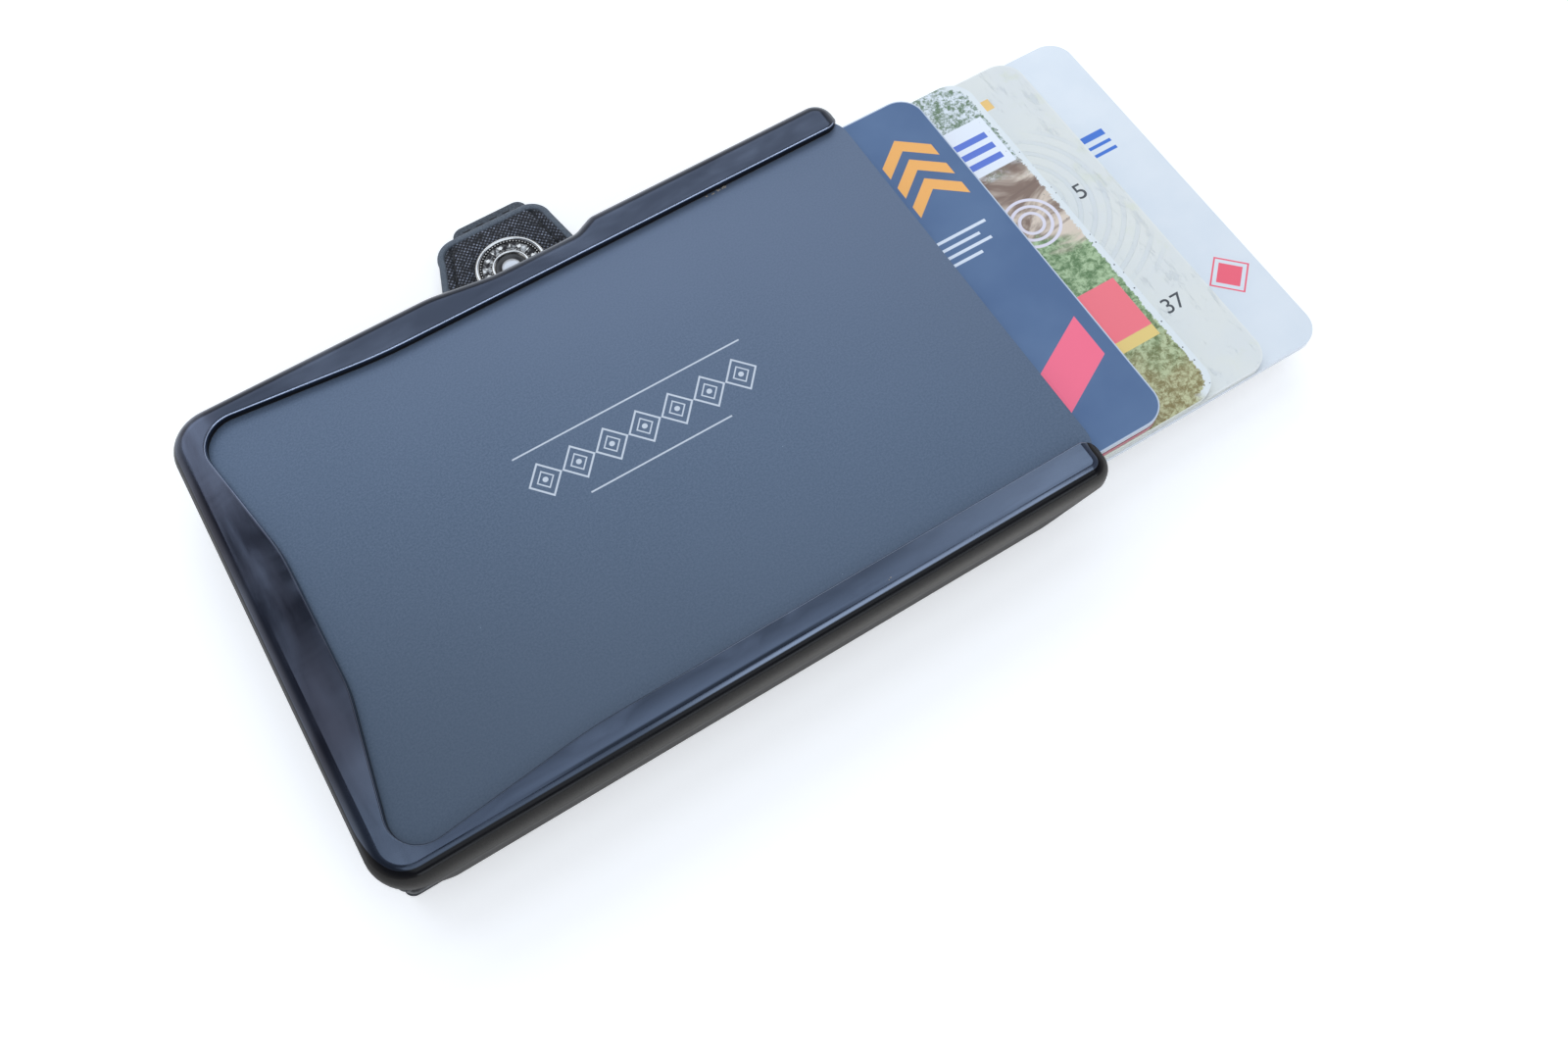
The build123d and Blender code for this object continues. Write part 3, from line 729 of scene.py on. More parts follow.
def navy_print():
    c = Card("navy_card", IOR=1.3)
    colour = c.fade(c.noise(0.1, 3), 0.3, 0.7, (0.098, 0.164, 0.3), (0.122, 0.196, 0.336))
    chevron = c.add(c.v, c.times(c.size(c.less(c.u, 37.2)), 0.8))
    for start in (13, 16.4, 19.8):
        colour = c.mix(c.bar(chevron, start, 1.9, 33.6, 40.8), colour, (0.965, 0.484, 0.151))
    band = c.times(c.span(c.slanted(0.55), -39.5, -33.5), c.span(c.v, -22.5, -10), c.span(c.u, 20, 41))
    colour = c.mix(band, colour, (0.985, 0.19, 0.29))
    for start, reach in ((5.6, 40), (4.4, 38.4), (3.2, 39.3), (2, 37.2)):
        colour = c.mix(c.bar(c.v, start, 0.42, 8, reach), colour, (0.74, 0.8, 0.88))
    colour = c.mix(c.span(c.depth, -0.2, 0.16, 0.05), colour, (0.55, 0.62, 0.72))
    return c.card(colour, (0.62, 0.66, 0.72), 0.6)


def red_print():
    c = Card("red_card")
    colour = c.fade(c.noise(2, 3), 0.3, 0.7, (0.36, 0.045, 0.07), (0.46, 0.07, 0.1))
    colour = c.mix(c.panel(28, 39, -19, -12), colour, (0.8, 0.78, 0.74))
    return c.card(colour, (0.42, 0.065, 0.1))


def photo_grounds(c):
    """Bands of mottled greens, stone courses and pale crowns."""
    leaves = c.noise(1.3, 6, None, 0.72, 0.4)
    soft = c.noise(0.22, 4, (0.6, 1, 1), 0.6, 0.6)
    level = c.add(c.v, c.times(c.less(soft, 0.5), 16))
    grass = c.fade(leaves, 0.36, 0.64, (0.11, 0.21, 0.08), (0.46, 0.6, 0.35))
    dry = c.fade(leaves, 0.4, 0.6, (0.34, 0.19, 0.07), (0.66, 0.57, 0.33))
    courses = c.span(c.math("PINGPONG", c.slanted(0.12), 1.7), -0.1, 0.16, 0.06)
    stone = c.fade(soft, 0.4, 0.6, (0.24, 0.16, 0.12), (0.76, 0.64, 0.52))
    return c.layers(
        c.mix(c.ramp(level, -12, -24, 0, 0.6), grass, dry),
        (c.ramp(level, -1.5, 1.5), c.mix(c.times(courses, 0.5), stone, (0.2, 0.13, 0.1))),
        (c.ramp(level, 10, 13), c.fade(leaves, 0.4, 0.6, (0.13, 0.21, 0.11), (0.78, 0.83, 0.87))),
    )


def photo_print():
    """Mottled bands under plain badges and rings, worn and dotted at the leading edge."""
    c = Card("photo_card")
    colour = c.layers(
        photo_grounds(c),
        (c.panel(33, 41.2, -15.8, -8.2), (0.97, 0.2, 0.24)),
        (c.panel(33, 41.2, -17.4, -15.8), (0.86, 0.64, 0.22)),
        (c.panel(32, 41.6, 12.4, 20.4), (0.86, 0.9, 0.95)),
        *[(c.panel(33.2, 40.6, start, start + 0.95), (0.1, 0.19, 0.66)) for start in (13.6, 15.4, 17.2)],
    )
    for radius in (1.3, 2.3, 3.3):
        ring = c.span(c.gap(c.u, c.v, 37.6, 3.4), radius, radius + 0.42)
        colour = c.mix(ring, colour, (0.8, 0.76, 0.84))
    ragged = c.add(c.depth, c.times(c.noise(1.6, 5, None, 0.7), -1.5))
    worn = c.times(c.ramp(ragged, 0.1, 0), c.ramp(c.u, 39, 41))
    dots = c.times(c.ramp(c.cells(1.1), 0.14, 0.08), c.ramp(c.u, 40.6, 42.2))
    colour = c.layers(colour, (worn, (0.8, 0.84, 0.84)), (dots, (0.07, 0.07, 0.08)))
    return c.card(colour, (0.7, 0.74, 0.66))


def cream_print():
    """Pale card with embossed rings and creases, yellowed towards the exit."""
    c = Card("cream_card", IOR=1.4)
    tint = c.times(c.ramp(c.noise(0.3, 3), 0.55, 0.72), c.ramp(c.u, 36, 42))
    rings = c.math("SINE", c.times(c.gap(c.u, c.v, 30, 6), 3.6))
    zone = c.times(c.span(c.v, -9, 15, 2), c.span(c.u, 20, 41.5, 1))
    emboss = c.times(c.ramp(rings, 0.2, 0.7), zone)
    crease = c.ramp(c.noise(0.7, 5, (1.2, 0.35, 1), 0.7, 0.6), 0.55, 0.7)
    colour = c.layers(
        c.fade(c.noise(0.12, 4, None, 0.6), 0.3, 0.7, (0.77, 0.79, 0.77), (0.8, 0.81, 0.76)),
        (c.times(tint, 0.5), (0.72, 0.75, 0.58)),
        (c.times(emboss, 0.28), (0.62, 0.67, 0.72)),
        (c.panel(33.4, 36.6, 21.2, 22.9), (0.95, 0.62, 0.22)),
        (c.times(crease, 0.45), (0.6, 0.64, 0.66)),
        (c.times(c.span(c.depth, -0.2, 0.22, 0.1), 0.5), (0.86, 0.87, 0.84)),
    )
    return c.card(colour, (0.66, 0.69, 0.66), 0.4, c.add(emboss, crease))


def white_print():
    c = Card("white_card")
    colour = c.fade(c.noise(0.15, 3), 0.3, 0.7, (0.77, 0.82, 0.86), (0.81, 0.85, 0.88))
    for start, wide in ((8.2, 0.5), (9.5, 0.5), (10.8, 1)):
        colour = c.mix(c.bar(c.v, start, wide, -6, 38.8), colour, (0.055, 0.19, 0.66))
    lozenge = c.add(c.size(c.less(c.u, 38.6)), c.size(c.add(c.v, 14.5)))
    for mark in (c.ramp(lozenge, 2.1, 2), c.span(lozenge, 2.75, 3.05)):
        colour = c.mix(mark, colour, (0.96, 0.16, 0.22))
    return c.card(colour, (0.72, 0.78, 0.85), 0.2)


card_prints = {
    "navy_card": navy_print, "red_card": red_print, "photo_card": photo_print,
    "cream_card": cream_print, "white_card": white_print,
}
for node, make in card_prints.items():
    repaint(make(), node)


def woven_material(name, light, dark, pitch, depth, sunk=None):
    """Plain weave of two yarns, with painted highlight flecks where yarns catch light; painted shade where
    it is sunk.
    """
    w = Paint(name, Sheen_Weight=0.25, Sheen_Roughness=0.5)
    weave = w.times(*[w.math("SINE", w.times(place, math.pi / pitch)) for place in (w.x, w.y)])
    fibres = w.noise(22, 3, None, 0.65)
    share = w.times(w.ramp(weave, -0.1, 0.9), w.ramp(w.noise(1.1, 4, None, 0.7), 0.36, 0.64))
    colour = w.mix(share, dark, light)
    if sunk:
        # Painted shade below the top of the weave
        colour = w.mix(w.ramp(w.z, *sunk, 0.9, 0), colour, dark)
    w.bump((weave, depth), (fibres, depth * 0.25))
    return w.shade(colour, w.ramp(fibres, 0.2, 0.8, 0.75, 0.95))


def leather_material(name, light, dark, grain=1.9, depth=0.05, rough=0.5, attribute=None):
    """Fine pebbled leather: cells with rounded tops, creases between them, worn tops smoother."""
    w = Paint(name, Specular_Tint=(0.85, 0.93, 1))
    if attribute:
        w.point = w.scaled(w.node("Attribute", {}, out="Vector", attribute_name=attribute), 1)
    pebble = w.cells(grain, "SMOOTH_F1")
    crease = w.cells(grain, "DISTANCE_TO_EDGE")
    pores = w.noise(16, 3, None, 0.6)
    colour = w.fade(crease, 0.02, 0.16, dark, light)
    colour = w.mix(w.ramp(w.noise(0.18, 3), 0.35, 0.7, 0, 0.4), colour, dark)
    w.bump((w.ramp(crease, 0, 0.22), depth), (pebble, -depth * 0.5), (pores, depth * 0.12))
    return w.shade(colour, w.ramp(crease, 0, 0.2, rough + 0.15, rough - 0.05))


canvas_low, canvas_high = spans("tab_canvas")
canvas_pitch = 0.3
canvas_shaded_heights = (canvas_high[2] - 0.3, canvas_high[2] - 0.1)
canvas = woven_material(
    "canvas_black", (0.29, 0.315, 0.4), (0.005, 0.006, 0.009), canvas_pitch, 0.04, sunk=canvas_shaded_heights
)
lining = woven_material("lining_black", (0.045, 0.046, 0.05), (0.012, 0.012, 0.014), 0.35, 0.02)
leather = leather_material("leather_black", (0.03, 0.031, 0.034), (0.012, 0.012, 0.014))
bound = leather_material("leather_bound", (0.102, 0.124, 0.154), (0.066, 0.08, 0.1), 3.2, 0.006, 0.34)
thread = plain_material(
    "thread_black", (0.03, 0.031, 0.034), (0.01, 0.01, 0.012), 0.7, 9, 0.02, 0, (1, 1, 1)
)
nickel = plain_material("nickel", (0.74, 0.73, 0.71), (0.6, 0.59, 0.57), 0.2, 4, 0.004, 1)
# A paler, part-matte copy of the nickel for the ring's raised marks, so they read as lit: a painted
# highlight
nickel_highlight = plain_material("nickel_painted_highlight", (0.8, 0.79, 0.76), (0.62, 0.61, 0.58), 0.38, 4, 0.004, 0.6)


# Snap fastener: the ring's place, and radius, count, drop, size and shift of its two rows of beads
ring_low, ring_high = spans("snap_stud")
ring_centre = middle_of("snap_stud")
ring_top = ring_high[2]
ring_radius = (ring_high[0] - ring_low[0]) / 2
ring_beads = {"outer": (3.87, 60, 0.14, 0.115, 0), "inner": (2.57, 40, 0.11, 0.085, 0.5)}
# Raised marks: half width, inner and outer radius of the lozenges and of the bars between them
ring_marks = ((0.4, 2.76, 3.48), (0.13, 2.74, 3.5))
ring_mark_count = 16
# Half section of the ring's face from the hole outwards: radius, and drop from the top
ring_face = (
    (1.1, 0.34), (1.9, 0.36), (2.02, 0.3), (2.08, 0.14), (2.16, 0.04), (2.28, 0), (2.4, 0.05),
    (2.46, 0.14), (2.52, 0.17), (2.62, 0.17), (2.7, 0.13), (3.55, 0.11), (3.66, 0.16), (3.72, 0.22),
    (4.02, 0.22), (4.08, 0.15), (4.16, 0.07), (4.27, 0.015), (4.35, 0),
    (ring_radius - 0.24, 0.02), (ring_radius - 0.13, 0.08), (ring_radius - 0.04, 0.17), (ring_radius, 0.27),
)


def make_snap_ring(finish):
    """Flange ring with a rolled rim, a bead groove, a dished face and a rolled hole."""
    foot, bottom = canvas_high[2] - 0.02, ring_low[2]
    section = [(radius, ring_top - drop) for radius, drop in ring_face]
    section += [(ring_radius, foot + 0.12), (ring_radius - 0.08, foot + 0.03), (ring_radius - 0.2, foot)]
    section += [(1.52, foot), (1.5, foot - 0.8), (1.5, bottom + 0.25), (1.58, bottom + 0.15)]
    section += [(1.5, bottom), (1.1, bottom + 0.05)]
    ring = lathe("snap_ring", section, ring_centre, 128)
    dress(ring, finish, "case", "snap_metal", "snap_stud")


def on_ring(radius, cosine, sine, height):
    """A point on a circle round the ring's centre."""
    return ring_centre[0] + radius * cosine, ring_centre[1] + radius * sine, height


def make_ring_beads():
    for row, (radius, count, drop, size, shift) in ring_beads.items():
        places = [on_ring(radius, *turn, ring_top - drop) for turn in circle(count, shift)]
        dress(beads("snap_beads_" + row, places, size), nickel, "case", "snap_metal")


def make_ring_marks():
    """Raised lozenges and short bars round the face of the ring."""
    points, faces = [], []
    for index in range(ring_mark_count):
        half, inner, outer = ring_marks[index % 2]
        middle, start = (inner + outer) / 2, len(points)
        for drop, inset, share in ((0.14, 0, 1), (0.03, 0.06, 0.8)):
            side = half * share
            for radius, across in ((inner + inset, 0), (middle, side), (outer - inset, 0), (middle, -side)):
                turn = 2 * math.pi * index / ring_mark_count + across / radius
                points.append(on_ring(radius, math.cos(turn), math.sin(turn), ring_top - drop))
        faces.append(tuple(range(start + 4, start + 8)))
        faces += row_faces(2, 4, start, flip=True)
    dress(clean(new_object("snap_ring_marks", points, faces)), nickel_highlight, "case", "snap_metal")


def ring_material():
    """Bright nickel on the raised parts, tarnished in the grooves, mottled on the face with stains and
    painted shade, and with painted shade in the hole.
    """
    w = Paint("nickel_ring", Metallic=1)
    radius = w.gap(w.x, w.y, *ring_centre)
    groove = w.times(w.span(radius, 3.66, 4.12, 0.03), w.ramp(w.z, ring_top - 0.03, ring_top - 0.12))
    face = w.times(w.span(radius, 2.44, 3.7, 0.03), w.ramp(w.z, ring_top - 0.02, ring_top - 0.08))
    # Painted shade in the ring's hole
    hole_shade = w.ramp(radius, 2.1, 1.95)
    # Mottled darkening of the face: partly stains, partly painted shade
    stains_and_shade = w.ramp(w.noise(1.3, 4, None, 0.65), 0.34, 0.58, 0.3, 1)
    dark = w.most(groove, w.times(face, stains_and_shade), hole_shade)
    metal = w.mix(dark, (0.56, 0.56, 0.55), (0.03, 0.029, 0.03))
    w.bump((w.noise(5, 3, None, 0.6), 0.004))
    return w.shade(w.mix(hole_shade, metal, (0.09, 0.09, 0.09)), w.ramp(dark, 0, 1, 0.16, 0.5))


def make_snap_dome():
    """The post's rounded top, seen in the ring's hole."""
    dome = [(0, 1.3), (0.98, 1.3), (1, 0.38), (1.3, 0.36), (1.28, 0.24)]
    dome += [(1.14, 0.15), (0.8, 0.08), (0.4, 0.05), (0, 0.04)]
    dome = [(radius, ring_top - drop) for radius, drop in dome]
    dress(lathe("snap_dome", dome, ring_centre, 48, False), steel, "case", "snap_dome", "snap_post")


# The tab's outline, from its root at the pocket's edge to its tip: half the root's width, the tip's
# low and high x, the tip's corners, and the canvas's margin inside the leather
tab_low, tab_high = spans("tab_backing")
pocket_edge = spans("pouch_outer_panel")[1][1]
tab_tip = tab_high[1]
tab_root_half = 10.9
tab_tip_sides = (-5.9, 8.5)
tab_corner = 3
canvas_margin = 0.6
canvas_corner = tab_corner - canvas_margin
canvas_seam_inset = 1.5


def tab_sides(y, inset=0):
    """The tab's low and high x at a y, less an inset."""
    reach = (y - pocket_edge) / (tab_tip - pocket_edge)
    low = -tab_root_half + (tab_tip_sides[0] + tab_root_half) * reach
    high = tab_root_half + (tab_tip_sides[1] - tab_root_half) * reach
    return low + inset, high - inset


def tab_warp(node, inset):
    """Maps a plain rectangle of the tab's middle width onto its tapered outline."""
    y_low, y_high = plan(node)[2:]
    middle = tab_sides((y_low + y_high) / 2, inset)

    def warp(x, y):
        share = (x - middle[0]) / (middle[1] - middle[0])
        low, high = tab_sides(y, inset)
        return low + (high - low) * share, y

    return (*middle, y_low, y_high), warp


def make_tab_leather():
    box, warp = tab_warp("tab_backing", 0)
    piece = pillow("tab_leather", "tab_backing", (0, tab_corner), 1.2, 0.35, box, warp)
    dress(piece, leather, "case", "pocket_leather", "tab_backing")


def make_tab_canvas():
    """Canvas with its yarns as real relief and a pressed seam along both sides."""
    box, warp = tab_warp("tab_canvas", canvas_margin)
    centre = (canvas_low[2] + canvas_high[2]) / 2
    half = canvas_high[2] - centre - 0.04

    def height(x, y, depth, side):
        if side < 0:
            return centre - half * round_edge(depth, 0.4)
        weave = math.sin(math.pi * x / canvas_pitch) * math.sin(math.pi * y / canvas_pitch)
        pressed = groove(min(x - box[0], box[1] - x) - canvas_seam_inset, 0.26, 0.3)
        swell = 0.05 * math.sin(x * 0.9 + 0.4) * math.sin(y * 0.7)
        return centre + (half - 0.02 + 0.05 * weave - pressed + swell) * round_edge(depth, 0.55)

    piece = soft_sheet("tab_weave", box, (0, canvas_corner), 0.075, height, warp)
    dress(piece, canvas, "case", "canvas", "tab_canvas")
    runs, y_low, length = [], box[2] + 0.4, box[3] - box[2] - 2.6
    rows = [y_low + index * length / 11 for index in range(12)]
    for side in (0, 1):
        path = [(tab_sides(y, canvas_margin + canvas_seam_inset)[side], y) for y in rows]
        runs += seam(path, 1.5, canvas_high[2] - 0.15)
    dress(stitches("tab_stitches", runs, 1.15, 0.13, 0.12), thread, "case", "canvas")


def tab_path(inset, start):
    """The tab's outline as points, from its low side round the tip to its high side."""
    bend, reach = tab_tip - tab_corner, tab_corner - inset
    rows = [start + (bend - start) * index / 23 for index in range(24)]
    low, high = tab_sides(bend)
    path = [(tab_sides(y)[0] + inset, y) for y in rows]
    path += quarter(low + tab_corner, bend, reach, math.pi, -12, 1)
    path += quarter(high - tab_corner, bend, reach, math.pi / 2, -12, 1)
    return path + [(tab_sides(y)[1] - inset, y) for y in reversed(rows[:-1])]


def make_tab_binding():
    """A bound edge: tape folded round the canvas and its backing."""
    low, high = tab_low[2] + 0.02, canvas_high[2] + 0.04
    (middle, half), reach = middle_half(low, high), 0.5
    section = []
    for across, up in circle(20):
        out = reach * math.copysign(abs(across) ** 0.55, across)
        section.append((-out, middle + half * math.copysign(abs(up) ** 0.45, up)))
    binding = swept_edge("tab_binding", tab_path(reach, pocket_edge + 0.2), section)
    dress(binding, bound, "case", "pocket_leather")


make_snap_ring(ring_material())
make_ring_beads()
make_ring_marks()
make_snap_dome()
make_tab_leather()
make_tab_canvas()
make_tab_binding()


# Pocket on the back: its outline, its corners, and its seam's inset, pitch and distance from the mouth
panel_box = plan("pouch_outer_panel")
panel_low = spans("pouch_outer_panel")[0][2]
pocket_corner = 1.6
seam_inset = 0.95
seam_pitch = 2.2
seam_start = 2
# Section of the folded side: distance outwards, and height
gusset_section = [
    (-0.8, 0.9), (-0.8, 2.9), (0.8, 2.9), (0.6, 2.45), (0.36, 2.05), (0.3, 1.9), (0.36, 1.75),
    (0.6, 1.35), (0.8, 0.9),
]


def panel_height(low, high, seen_side):
    """Height of a leather panel with rounded edges and a sewn groove on its seen side."""
    middle, half = middle_half(low, high)

    def height(x, y, depth, side):
        wave = 0.03 * math.sin(x * 0.21 + 1) * math.sin(y * 0.26) * round_edge(depth, 6)
        sewn = side == seen_side and y < panel_box[3] - 0.6
        sunk = groove(depth - seam_inset, 0.15, 0.3) if sewn else 0
        return middle + side * (half - sunk - 0.03 + wave) * round_edge(depth, 0.4)

    return height


def pocket_path(inset, mouth=0.4):
    """The pocket's three sewn sides, from its mouth at the low end round to the mouth again."""
    x_low, x_high, y_low, y_high = panel_box
    rows = [y_high - mouth - index * 6 for index in range(9)]
    radius, reach = pocket_corner, pocket_corner - inset
    path = [(x_low + inset, y) for y in rows]
    path += quarter(x_low + radius, y_low + radius, reach, math.pi, 8)
    path += [(x_low + radius + index * 10, y_low + inset) for index in range(1, 8)]
    path += quarter(x_high - radius, y_low + radius, reach, -math.pi / 2, 8)
    return path + [(x_high - inset, y) for y in reversed(rows)]


def make_pocket():
    for name, side in (("outer", -1), ("inner", 1)):
        node = f"pouch_{name}_panel"
        low, high = spans(node)
        height = panel_height(low[2], high[2], side)
        piece = soft_sheet("pocket_" + name, panel_box, (1.2, 1.2), 1.6, height)
        dress(piece, leather, "case", "pocket_leather", node)
    gusset = swept_edge("pocket_gusset", pocket_path(0.8), gusset_section)
    dress(gusset, lining, "case", "pocket_fabric", "pouch_gusset")
    runs = seam(pocket_path(seam_inset, seam_start), seam_pitch, panel_low + 0.17)
    dress(stitches("pocket_stitches", runs, 1.6, 0.15, 0.16), thread, "case", "pocket_leather")


def make_mounting_pad():
    """Foam with a pressed skin and rounded edges."""
    piece = pillow("mounting_foam", "pouch_mounting_pad", (1, 1), 3, 0.4)
    dress(piece, foam, "case", "pad_foam", "pouch_mounting_pad")


# Closing strap, with its root in the pocket: where it bends, and its seam's inset and pitch
strap_low, strap_high = spans("closing_strap")
root_low = spans("strap_root")[0]
liner_low = spans("strap_liner")[0]
bend_start, bend_end = 29, 31
strap_seam_inset = 1
strap_seam_pitch = 1.9


def make_strap():
    middle, half = middle_half(strap_low[2], strap_high[2])

    def height(x, y, depth, side):
        edge = min(x - strap_low[0], strap_high[0] - x, strap_high[1] - y) - strap_seam_inset
        sewn = groove(edge, 0.08, 0.22) if y > bend_end + 0.4 else 0
        return middle + side * (half - sewn - 0.02) * round_edge(depth, 0.3)

    box = (strap_low[0], strap_high[0], root_low[1], strap_high[1])
    lines = [bend_start - 0.3 + 0.16 * index for index in range(17)]
    strap = soft_sheet("strap_leather", box, (0, 1.5), 0.8, height, extra_y=lines)
    keep_places(strap, "rest_place", lambda place: place / MM)
    finish = leather_material(
        "leather_strap", (0.066, 0.076, 0.092), (0.034, 0.04, 0.05), 2.6, 0.012, 0.36, "rest_place"
    )
    strap.data.materials.append(finish)
    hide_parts("closing_strap", "strap_root")
    centre = middle_of("closing_strap")[0]
    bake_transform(strap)


def make_strap_lining():
    liner = pillow("strap_lining", "strap_liner", (0, 1.2), 1.2, 0.18)
    dress(liner, bound, "strap", "pocket_leather", "strap_liner")
    low, high = strap_low[0] + strap_seam_inset, strap_high[0] - strap_seam_inset
    tip, radius, start = strap_high[1] - strap_seam_inset, 0.6, bend_end + 0.5
    path = [(low, start), (low, tip - radius), (low + radius, tip)]
    path += [(high - radius, tip), (high, tip - radius), (high, start)]
    runs = []
    for height in (strap_high[2] - 0.1, liner_low[2] + 0.1):
        runs += seam(path, strap_seam_pitch, height)
    dress(stitches("strap_stitches", runs, 1.4, 0.11, 0.08), thread, "strap", "pocket_leather")


# Underside of the strap's cap: radius, and height above its base
cap_face = (
    (0, -0.04), (0.9, -0.03), (1.6, 0), (1.7, 0.06), (1.85, 0.06), (1.95, 0.01), (2.8, 0.05),
    (2.9, 0.11), (3.05, 0.11), (3.15, 0.07), (3.6, 0.12),
)
# The socket over it: the radii of its bore and barrel, and its face as radius and drop from its top
socket_bore = 1.84
socket_barrel = 2.28
socket_face = ((2.2, 0), (2.35, 0.12), (2.9, 0.16), (3.3, 0.14), (3.42, 0.04), (3.55, 0))
# Wire that grips the stud: its drop below the socket's top, the ring's radius and its own
wire_drop = 0.26
wire_ring = 1.78
wire_radius = 0.1


def make_snap_cap(centre):
    """Domed cap under the strap, with two turned rings."""
    low, high = spans("snap_cap")
    radius, base, top = (high[0] - low[0]) / 2, low[2], high[2]
    section = [(r, base + rise) for r, rise in cap_face]
    section += [(radius - 0.1, base + 0.2), (radius, base + 0.3), (radius - 0.04, top - 0.03)]
    section += [(radius - 0.2, top), (0, top)]
    cap = lathe("snap_cap_dome", section, centre, closed=False)
    dress(cap, nickel, "strap", "snap_metal", "snap_cap")


def make_snap_socket(centre):
    """Flanged ring over the strap that takes the stud, with the wire that grips it."""
    low, high = spans("snap_socket")
    bore, outer = socket_bore, (high[0] - low[0]) / 2
    foot, under, face = low[2], strap_high[2], high[2]
    section = [(bore, foot), (bore, face - 0.1), (bore + 0.06, face)]
    section += [(r, face - drop) for r, drop in socket_face]
    section += [(outer - 0.15, face - 0.02), (outer, face - 0.14), (outer, under + 0.05)]
    section += [(outer - 0.05, under), (socket_barrel, under), (socket_barrel, foot)]
    dress(lathe("snap_socket_ring", section, centre), nickel, "strap", "snap_metal", "snap_socket")
    level = face - wire_drop
    wire = [(wire_ring + wire_radius * cosine, level + wire_radius * sine) for cosine, sine in circle(10)]
    dress(lathe("snap_wire", wire, centre, 64), steel, "strap", "snap_metal")


def soft_block(name, node, material, slot, edge=0.15):
    """A small moulded block with rounded edges, in the place of its CAD node."""
    low, high = spans(node)
    work = bmesh.new()
    bmesh.ops.create_cube(work, size=1)
    for vertex in work.verts:
        vertex.co = Vector([(a + b) / 2 + (b - a) * c for a, b, c in zip(low, high, vertex.co)]) * MM
    bmesh.ops.bevel(work, geom=work.edges[:], offset=edge * MM, segments=3, profile=0.5, affect="EDGES")
    for face in work.faces:
        face.smooth = True
    obj = new_object(name, [], [])
    work.to_mesh(obj.data)
    work.free()
    dress(obj, material, "case", slot, node)


# Contact chip on each card: its middle and half its size in the card's own plane
chip_middle = (-26.5, 3.1)
chip_half = (6, 4.65)


def chip_material():
    """Gold-coloured contacts parted by fine dark lines."""
    w = Paint("chip_contacts", Metallic=0.9)
    u, v, _ = w.split(w.node("Attribute", {}, out="Vector", attribute_name="card_place"))
    lines = w.span(w.size(u), 1.9, 2.08)
    rows = w.times(w.span(w.math("PINGPONG", v, 1.6), 0, 0.09), w.ramp(w.size(u), 1.9, 2))
    cut = w.most(lines, rows, w.span(w.gap(u, v), 1.5, 1.66))
    brushed = w.noise(5, 3, (0.1, 1, 1), 0.6)
    gold = w.fade(brushed, 0.3, 0.7, (0.72, 0.5, 0.2), (0.84, 0.62, 0.28))
    w.bump((cut, -0.01))
    return w.shade(w.mix(cut, gold, (0.1, 0.07, 0.04)), w.ramp(brushed, 0.3, 0.7, 0.22, 0.36))


def on_card(node, u, v):
    """A place in the card's own plane as x and y."""
    cosine, sine = math.cos(card_turn), math.sin(card_turn)
    x, y = middle_of(node)
    return x + u * cosine - v * sine, y + u * sine + v * cosine


def make_chip(node, finish):
    level = spans(node)[1][2]
    box = [middle + sign * half for middle, half in zip(chip_middle, chip_half) for sign in (-1, 1)]

    def height(x, y, depth, side):
        return level + (0.02 * round_edge(depth, 0.05) if side > 0 else -0.01 * round_edge(depth, 0.02))

    piece = soft_sheet(node + "_chip", box, (1.2, 1.2), 1, height, lambda x, y: on_card(node, x, y))
    centre = on_card(node, *chip_middle)
    keep_places(piece, "card_place", lambda at: (at.x / MM - centre[0], at.y / MM - centre[1], 0))
    dress(piece, finish, node, "card_" + node.split("_")[0])


# Plain digits printed on the cream card: text, place on the card, height, and the ink's thickness
card_digits = (("5", (37.2, 3.6), 2.4), ("37", (36.2, -15.5), 2.2))
ink_thickness = 0.008


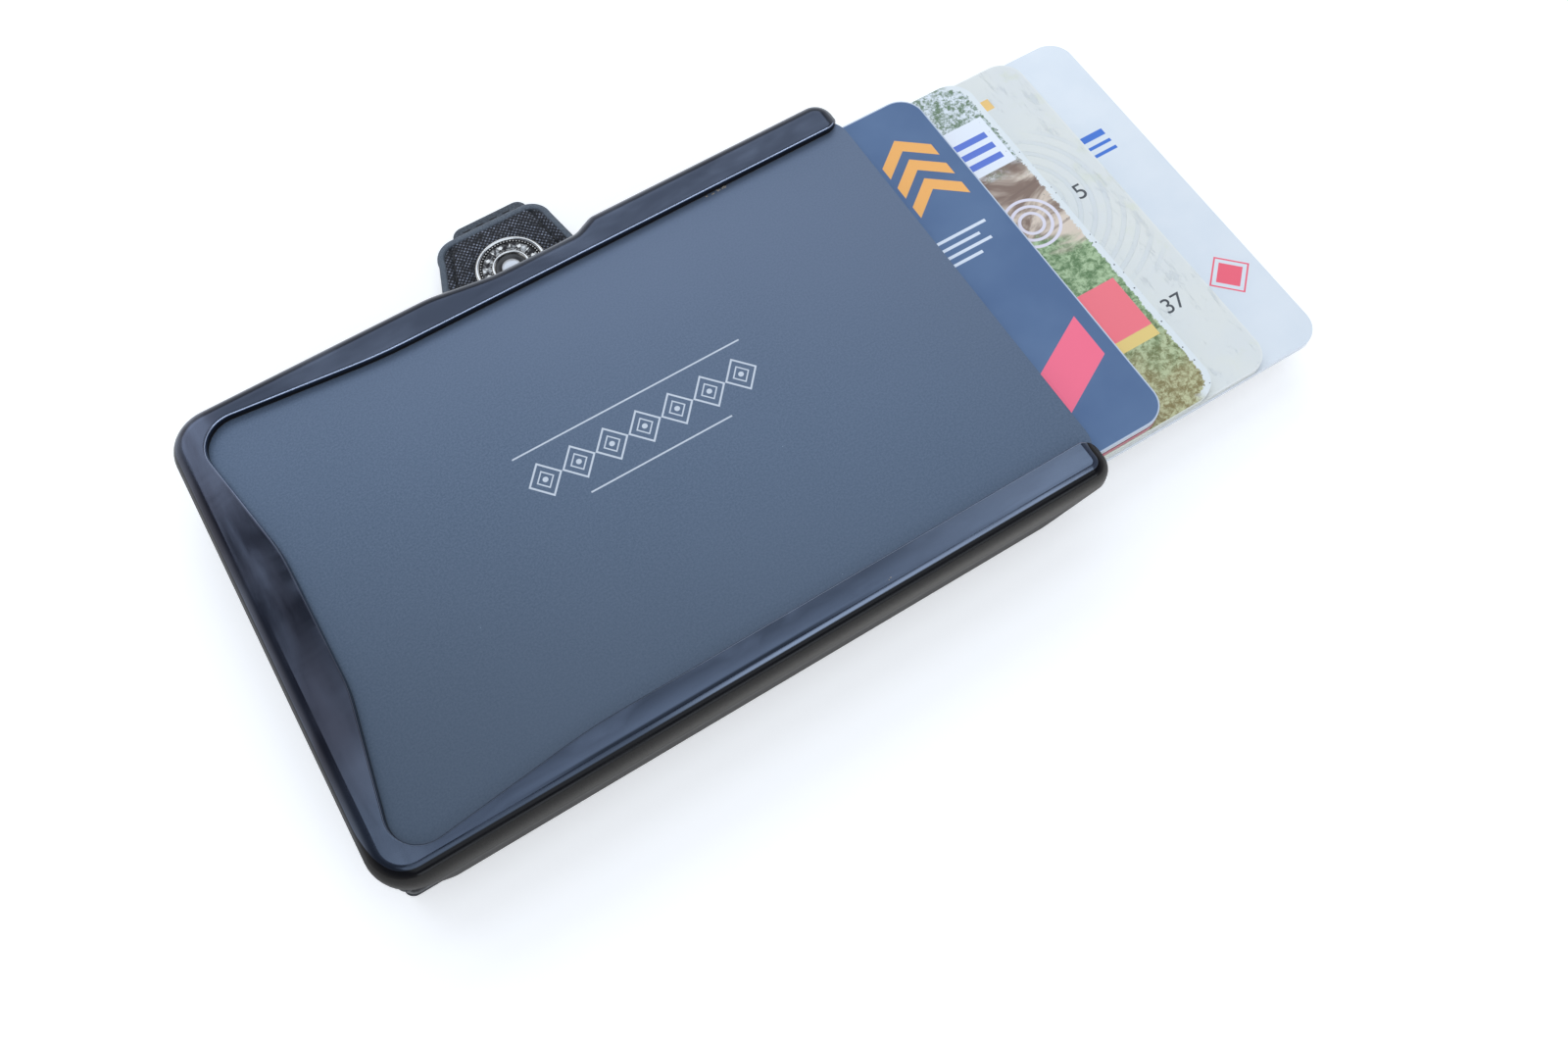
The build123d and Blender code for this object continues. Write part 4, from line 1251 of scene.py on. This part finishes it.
def make_digits():
    ink = plain_material("card_ink", (0.1, 0.11, 0.12), (0.05, 0.055, 0.06), 0.5, 4, 0.002)
    level = spans("cream_card")[1][2] + ink_thickness
    for index, (body, place, height) in enumerate(card_digits):
        curve = bpy.data.curves.new("digits", "FONT")
        curve.body = body
        curve.size = height * 1.35 * MM
        curve.extrude = ink_thickness * MM
        curve.resolution_u = 6
        text = in_scene("digits_curve", curve)
        bpy.context.view_layer.update()
        mesh = bpy.data.meshes.new_from_object(text.evaluated_get(bpy.context.evaluated_depsgraph_get()))
        bpy.data.objects.remove(text)
        move = Matrix.Translation(Vector((*on_card("cream_card", *place), level)) * MM)
        mesh.transform(move @ Matrix.Rotation(card_turn, 4, "Z"))
        dress(in_scene(f"cream_card_digits_{index}", mesh), ink, "cream_card", "card_cream")


# Grains of dried glue where the plate meets the rim, and a pale chip on the lower rim: how many,
# the x and y spans they lie in, their height and their radius
grain_groups = {
    "glue_crumbs": (16, (24.6, 27.6), (25.55, 25.85), plate_top + 0.03, 0.13),
    "rim_chip": (3, (15.6, 16.2), (-28.45, -28.3), rim_top - 0.005, 0.1),
}
grain_rings, grain_sides = 5, 7


def make_grains():
    """Irregular grains, flattened onto what they lie on."""
    dust = plain_material("dried_glue", (0.42, 0.38, 0.33), (0.2, 0.18, 0.16), 0.8, 3, 0.03)
    rng = random.Random(7)
    for name, (count, along, across, height, radius) in grain_groups.items():
        points, faces = [], []
        for _ in range(count):
            x, y, full = rng.uniform(*along), rng.uniform(*across), radius * rng.uniform(0.5, 1.1)
            faces += row_faces(grain_rings + 1, grain_sides, len(points))
            for ring in range(grain_rings + 1):
                tilt = math.pi * ring / grain_rings
                for cosine, sine in circle(grain_sides):
                    size = full * rng.uniform(0.75, 1.2)
                    wide, up = size * math.sin(tilt), size * math.cos(tilt) * 0.5
                    points.append((x + wide * cosine * 1.5, y + wide * sine, height + up))
        dress(new_object(name, points, faces, smooth=True), dust, "case", "plate_slate")


make_pocket()
make_mounting_pad()
make_strap()
make_strap_lining()
make_snap_cap(middle_of("snap_cap"))
make_snap_socket(middle_of("snap_cap"))
soft_block("end_cushion", "end_pad", silicone, "silicone")
soft_block("stop_rubber", "stop_bumper", rubber, "rubber_black")
soft_block("brake_felt", "brake_pad", rubber, "rubber_black", 0.05)
chip_finish = chip_material()
for node in card_prints:
    make_chip(node, chip_finish)
make_digits()
make_grains()
